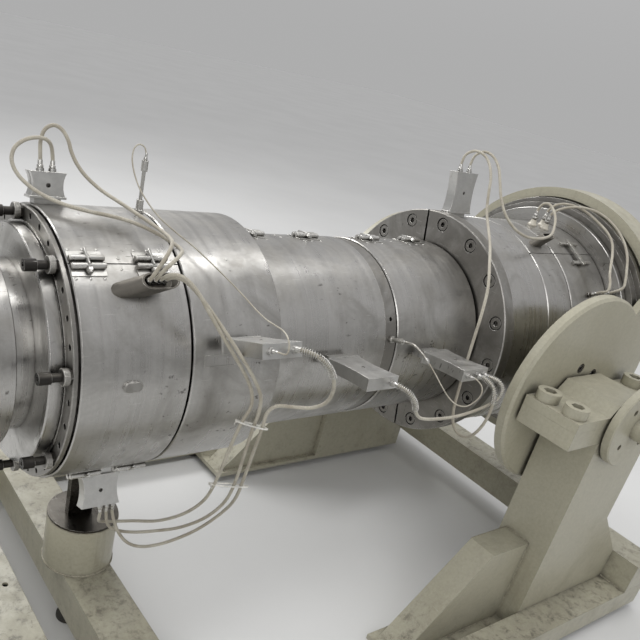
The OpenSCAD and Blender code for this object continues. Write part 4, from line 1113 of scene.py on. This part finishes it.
def box_ribs(bm):
    for x, angle, start, length in BOXES:
        bow = (length * length / 4 + WAIST * WAIST) / (2 * WAIST)
        place = on_die(x, angle, start)
        for side in (-1, 1):
            centre = side * (BOX_WIDTH / 2 + bow - WAIST)
            rings = []
            for k in range(RIB_STEPS + 1):
                h = RIB_START + (length - RIB_START - RIB_STOP) * k / RIB_STEPS
                edge = centre - side * math.sqrt(bow * bow - (h - length / 2) ** 2)
                inner, outer = edge - side * RIB_SINK, edge + side * RIB
                corners = ((inner, -RIB, h), (outer, -RIB, h), (outer, RIB, h), (inner, RIB, h))
                rings.append(new_ring(bm, corners, place))
            skin(bm, rings)


make_piece("box_ribs", box_ribs, "cast_box", smooth=False)

# %% [markdown]
# ## Screws around the mouth
# Each centring screw has a worn knurled lock ring behind its oily head. A bump would leave its outline
# smooth, so the knurl is a gear with many small teeth: every second point of a circle lies a little deeper.

# %% Knurled lock rings
ADJUSTERS = 8
FIRST_ADJUSTER = 12
ADJUSTER_CIRCLE = 0.344
RING_X = -0.256
RING_RADIUS = 0.0215
RING_CHAMFER = 0.0015
RING_STEPS = ((0, RING_CHAMFER), (0.001, 0), (0.015, 0), (0.016, RING_CHAMFER))
TEETH = 36
TOOTH_DEPTH = 0.0008


def knurled_rings(bm):
    for number in range(ADJUSTERS):
        angle = FIRST_ADJUSTER + number * 360 / ADJUSTERS
        matrix = facing(on_die(RING_X, angle, ADJUSTER_CIRCLE).translation, (-1, 0, 0))
        rings = []
        for height, shrink in RING_STEPS:
            tips = circle(RING_RADIUS - shrink, height, 2 * TEETH)
            roots = circle(RING_RADIUS - shrink - TOOTH_DEPTH, height, 2 * TEETH)
            rings.append(new_ring(bm, [(tips, roots)[i % 2][i] for i in range(2 * TEETH)], matrix))
        skin(bm, rings)


make_piece("knurled_rings", knurled_rings, "worn_screw", smooth=False)

# %% [markdown]
# ## Stud insulators
# The three terminal studs behind the split flange stand on glazed cones, and a hexagon nut clamps each tail.
# A plain cone with a bevel would do, but a turned profile gives the flared foot and the shoulder. It lies
# just over the solid below it, so it keeps the stud's place.

# %% Ceramic cones and their nuts
STUDS = ((1.800, 88), (1.870, 88), (1.835, 83))
CONE = ((0.0180, -0.0002), (0.0184, 0.0015), (0.0182, 0.0052), (0.0146, 0.0090), (0.0138, 0.0120),
        (0.0112, 0.0175), (0.0104, 0.0235), (0.0086, 0.0242), (0.0070, 0.0242))
NUT = ((0, 0.0290), (0.0112, 0.0290), (0.0120, 0.0298), (0.0120, 0.0350), (0.0112, 0.0358), (0, 0.0358))


def cones(bm):
    for x, angle in STUDS:
        turned_shape(bm, CONE, on_die(x, angle, REAR_R), sides=40)


def stud_nuts(bm):
    for x, angle in STUDS:
        turned_shape(bm, NUT, on_die(x, angle, REAR_R), sides=6)


make_piece("stud_cones", cones, "ceramic")
make_piece("stud_nuts", stud_nuts, "zinc_latch", smooth=False)

# %% [markdown]
# ## Weld beads
# The frame is welded. A bead is a row of overlapping drops, so its round section swells and shrinks along the
# seam. A displaced tube would do; here the radius of each ring is set in code, which costs few faces.

# %% One bead along a path
# Steps and swell are shares of the bead's radius. No seam runs along the askew direction.
BEAD_STEP = 0.55
BEAD_SIDES = 8
MEAN_SWELL = 0.86
DROP_SWELL = 0.12
DROP_TURN = 1.9
SLOW_SWELL = 0.06
SLOW_TURN = 0.37
ASKEW = Vector((0.21, 0.34, 0.92))


def bead(bm, path, radius, closed=False):
    stops = [Vector(p) for p in (path + path[:1] if closed else path)]
    fine = []
    for a, b in zip(stops, stops[1:]):
        steps = max(2, int((b - a).length / (radius * BEAD_STEP)))
        fine += [a.lerp(b, k / steps) for k in range(steps)]
    if not closed:
        fine.append(stops[-1])
    rings = []
    for i, centre in enumerate(fine):
        before = fine[i - 1] if closed or i > 0 else centre
        after = fine[(i + 1) % len(fine)] if closed or i + 1 < len(fine) else centre
        ahead = (after - before).normalized()
        side = ahead.cross(ASKEW).normalized()
        up = ahead.cross(side)
        swell = radius * (MEAN_SWELL + DROP_SWELL * math.sin(i * DROP_TURN)
                          + SLOW_SWELL * math.sin(i * SLOW_TURN + 1.0))
        rings.append(new_ring(bm, [centre + p.x * side + p.y * up for p in circle(swell, 0, BEAD_SIDES)]))
    skin(bm, rings, closed)


print("bead ready")

# %% Beads along the frame's seams
BEAM_TOP = 0.270
BEAM_BACKS = (-0.295, 0.0, 2.225)
BEAM_HALF = 0.080
BEAM_SEAM_TOP = 0.1315
RAIL_INNER = 0.745
RAIL_OUTER = 0.861
POST_R = 0.112
POST_TOP = 0.450
POST_SEAMS = ((0.0005, BEAM_TOP + 0.0015, 0.0042), (0.0002, POST_TOP - 0.009, 0.0026))
PLATE_TOP = 0.050
COLUMN_FRONT = 1.537
COLUMN_REAR = 2.136
COLUMN_INNER = 0.540
STRUT_SIDES = (0.560, 0.670)
STRUT_TOP = 0.415
STRUT_KNEE = 1.320
STRUT_FOOT = 0.985
STRUT_BEAD = 0.0042
COLUMN_BEAD = 0.0040
BEAD = 0.0038
KNEE_BEAD = 0.0020
LIFT = 0.001


def welds(bm):
    for gap, height, radius in POST_SEAMS:
        bead(bm, circle(POST_R + gap, height, count=72), radius, closed=True)
    for side in (-1, 1):
        for x in BEAM_BACKS:
            for edge in (x - BEAM_HALF, x + BEAM_HALF):
                bead(bm, [(edge, side * y, BEAM_SEAM_TOP) for y in (RAIL_INNER, RAIL_OUTER)], BEAD)
        near, far = (side * y for y in STRUT_SIDES)
        bead(bm, [(COLUMN_FRONT, y, STRUT_TOP) for y in (near, far)], STRUT_BEAD)
        bead(bm, [(x, near, STRUT_TOP + LIFT) for x in (STRUT_KNEE, COLUMN_FRONT)], KNEE_BEAD)
        for y in (near, far):
            bead(bm, [(COLUMN_FRONT, y, z) for z in (PLATE_TOP + 2 * LIFT, STRUT_TOP - 2 * LIFT)], BEAD)
            bead(bm, [(x, y, PLATE_TOP) for x in (STRUT_FOOT, COLUMN_FRONT)], BEAD)
        bead(bm, [(x, side * COLUMN_INNER, PLATE_TOP) for x in (COLUMN_FRONT, COLUMN_REAR)], COLUMN_BEAD)


make_piece("weld_beads", welds, "weld_grey")

# %% [markdown]
# ## Cap of the sensor well
# The first band has an oval boss over a spare sensor well, closed with a flat cap. Its outline is two half
# circles joined by straight sides, lifted in four steps, so that the chamfer catches the light.

# %% Oval cap on the first band
WELL = (-0.100, 7, BAND_R)
CAP_REACH = 0.011
CAP_RADIUS = 0.0128
CAP_STEPS = ((0, 0.0045), (0, 0.0068), (0.0012, 0.0078), (0.0045, 0.0080))


def well_cap(bm):
    place = on_die(*WELL)
    rings = []
    for inset, height in CAP_STEPS:
        outline = circle(CAP_RADIUS - inset, height, count=40)
        for point in outline:
            point.x += math.copysign(CAP_REACH, point.x)
        rings.append(new_ring(bm, outline, place))
    skin(bm, rings)


make_piece("well_cap", well_cap, "ground_ring")

# %% [markdown]
# ## A bare pressed frame
# The second front band has a thin pressed frame on its side, left empty here. It bends with the band, so its
# four bars are built on the band's own radius.

# %% Pressed frame on the second band
FRAME_FRONT = 0.098
FRAME_BACK = 0.200
FRAME_LOW = 12.0
FRAME_HIGH = 17.0
BAR = 0.0022
BAR_RISE = 0.0007
BAR_SINK = 0.0002
BAR_STEPS = 8


def pressed_frame(bm):
    wide = math.degrees(BAR / BAND_R)
    low, high = FRAME_LOW + wide, FRAME_HIGH - wide
    for front, back, start, end in (
        (FRAME_FRONT, FRAME_BACK, FRAME_LOW, low),
        (FRAME_FRONT, FRAME_BACK, high, FRAME_HIGH),
        (FRAME_FRONT, FRAME_FRONT + BAR, low, high),
        (FRAME_BACK - BAR, FRAME_BACK, low, high),
    ):
        section = ((front, -BAR_SINK), (front, BAR_RISE), (back, BAR_RISE), (back, -BAR_SINK))
        rings = []
        for k in range(BAR_STEPS + 1):
            angle = start + (end - start) * k / BAR_STEPS
            rings.append(new_ring(bm, [on_die(x, angle, BAND_R + h).translation for x, h in section]))
        skin(bm, rings)


make_piece("pressed_frame", pressed_frame, "band_cover", smooth=False)

# %% [markdown]
# ## Floor and light
# A plain pale floor shows the object's shadow. Bright steel is only as good as what it reflects, so the sky
# goes from grey at the horizon to pale above. Three large soft lamps light the object: a long one from
# behind, a square one from the side of the mouth, and a long one overhead that draws out the bands' curves.

# %% Floor
FLOOR_REACH = 40
FLOOR_TONES = ((0.62, 0.62, 0.61), (0.65, 0.65, 0.64))


def add_floor():
    bm = bmesh.new()
    bmesh.ops.create_grid(bm, x_segments=1, y_segments=1, size=FLOOR_REACH)
    mesh = bpy.data.meshes.new("floor")
    bm.to_mesh(mesh)
    bm.free()
    finish, tree, shader = new_finish("pale_floor")
    tone = blend_colours(tree, span(tree, cloud(tree, 0.8, 5.0), 0.3, 0.7), *FLOOR_TONES)
    feed(tree, shader, {"Base Color": tone, "Roughness": 0.75, "Specular IOR Level": 0.2})
    mesh.materials.append(finish)
    add_object("floor", mesh)


add_floor()
print("floor laid")

# %% Sky and lamps
HORIZON = (0.42, 0.42, 0.42)
ZENITH = (0.68, 0.68, 0.69)
# A row holds the name, the place, the target, the size and the power in watts.
LAMPS = (
    ("rear_lamp", (-0.6, 5.4, 5.6), (0.8, 0.0, 1.0), (6.5, 1.1), 290),
    ("mouth_lamp", (-3.4, -5.0, 4.4), (0.8, 0.0, 0.8), (4.0, 4.0), 110),
    ("top_lamp", (1.2, -0.6, 6.4), (1.0, 0.0, 0.6), (6.0, 0.8), 110),
)


def add_sky():
    world = bpy.data.worlds.new("sky")
    bpy.context.scene.world = world
    world.use_nodes = True
    tree = world.node_tree
    height = axes_of(tree, tree.nodes.new("ShaderNodeTexCoord").outputs["Generated"])["Z"]
    tone = blend_colours(tree, span(tree, height, 0.0, 0.6), HORIZON, ZENITH)
    feed(tree, tree.nodes["Background"].inputs, {"Color": tone})


def add_lamp(name, place, target, size, watts):
    light = bpy.data.lights.new(name, "AREA")
    light.shape = "RECTANGLE"
    light.size, light.size_y = size
    light.energy = watts
    lamp = add_object(name, light)
    lamp.location = place
    lamp.rotation_euler = (Vector(target) - Vector(place)).to_track_quat("-Z", "Y").to_euler()


add_sky()
for lamp in LAMPS:
    add_lamp(*lamp)
bpy.context.scene.view_settings.view_transform = "Standard"
print("lights on")
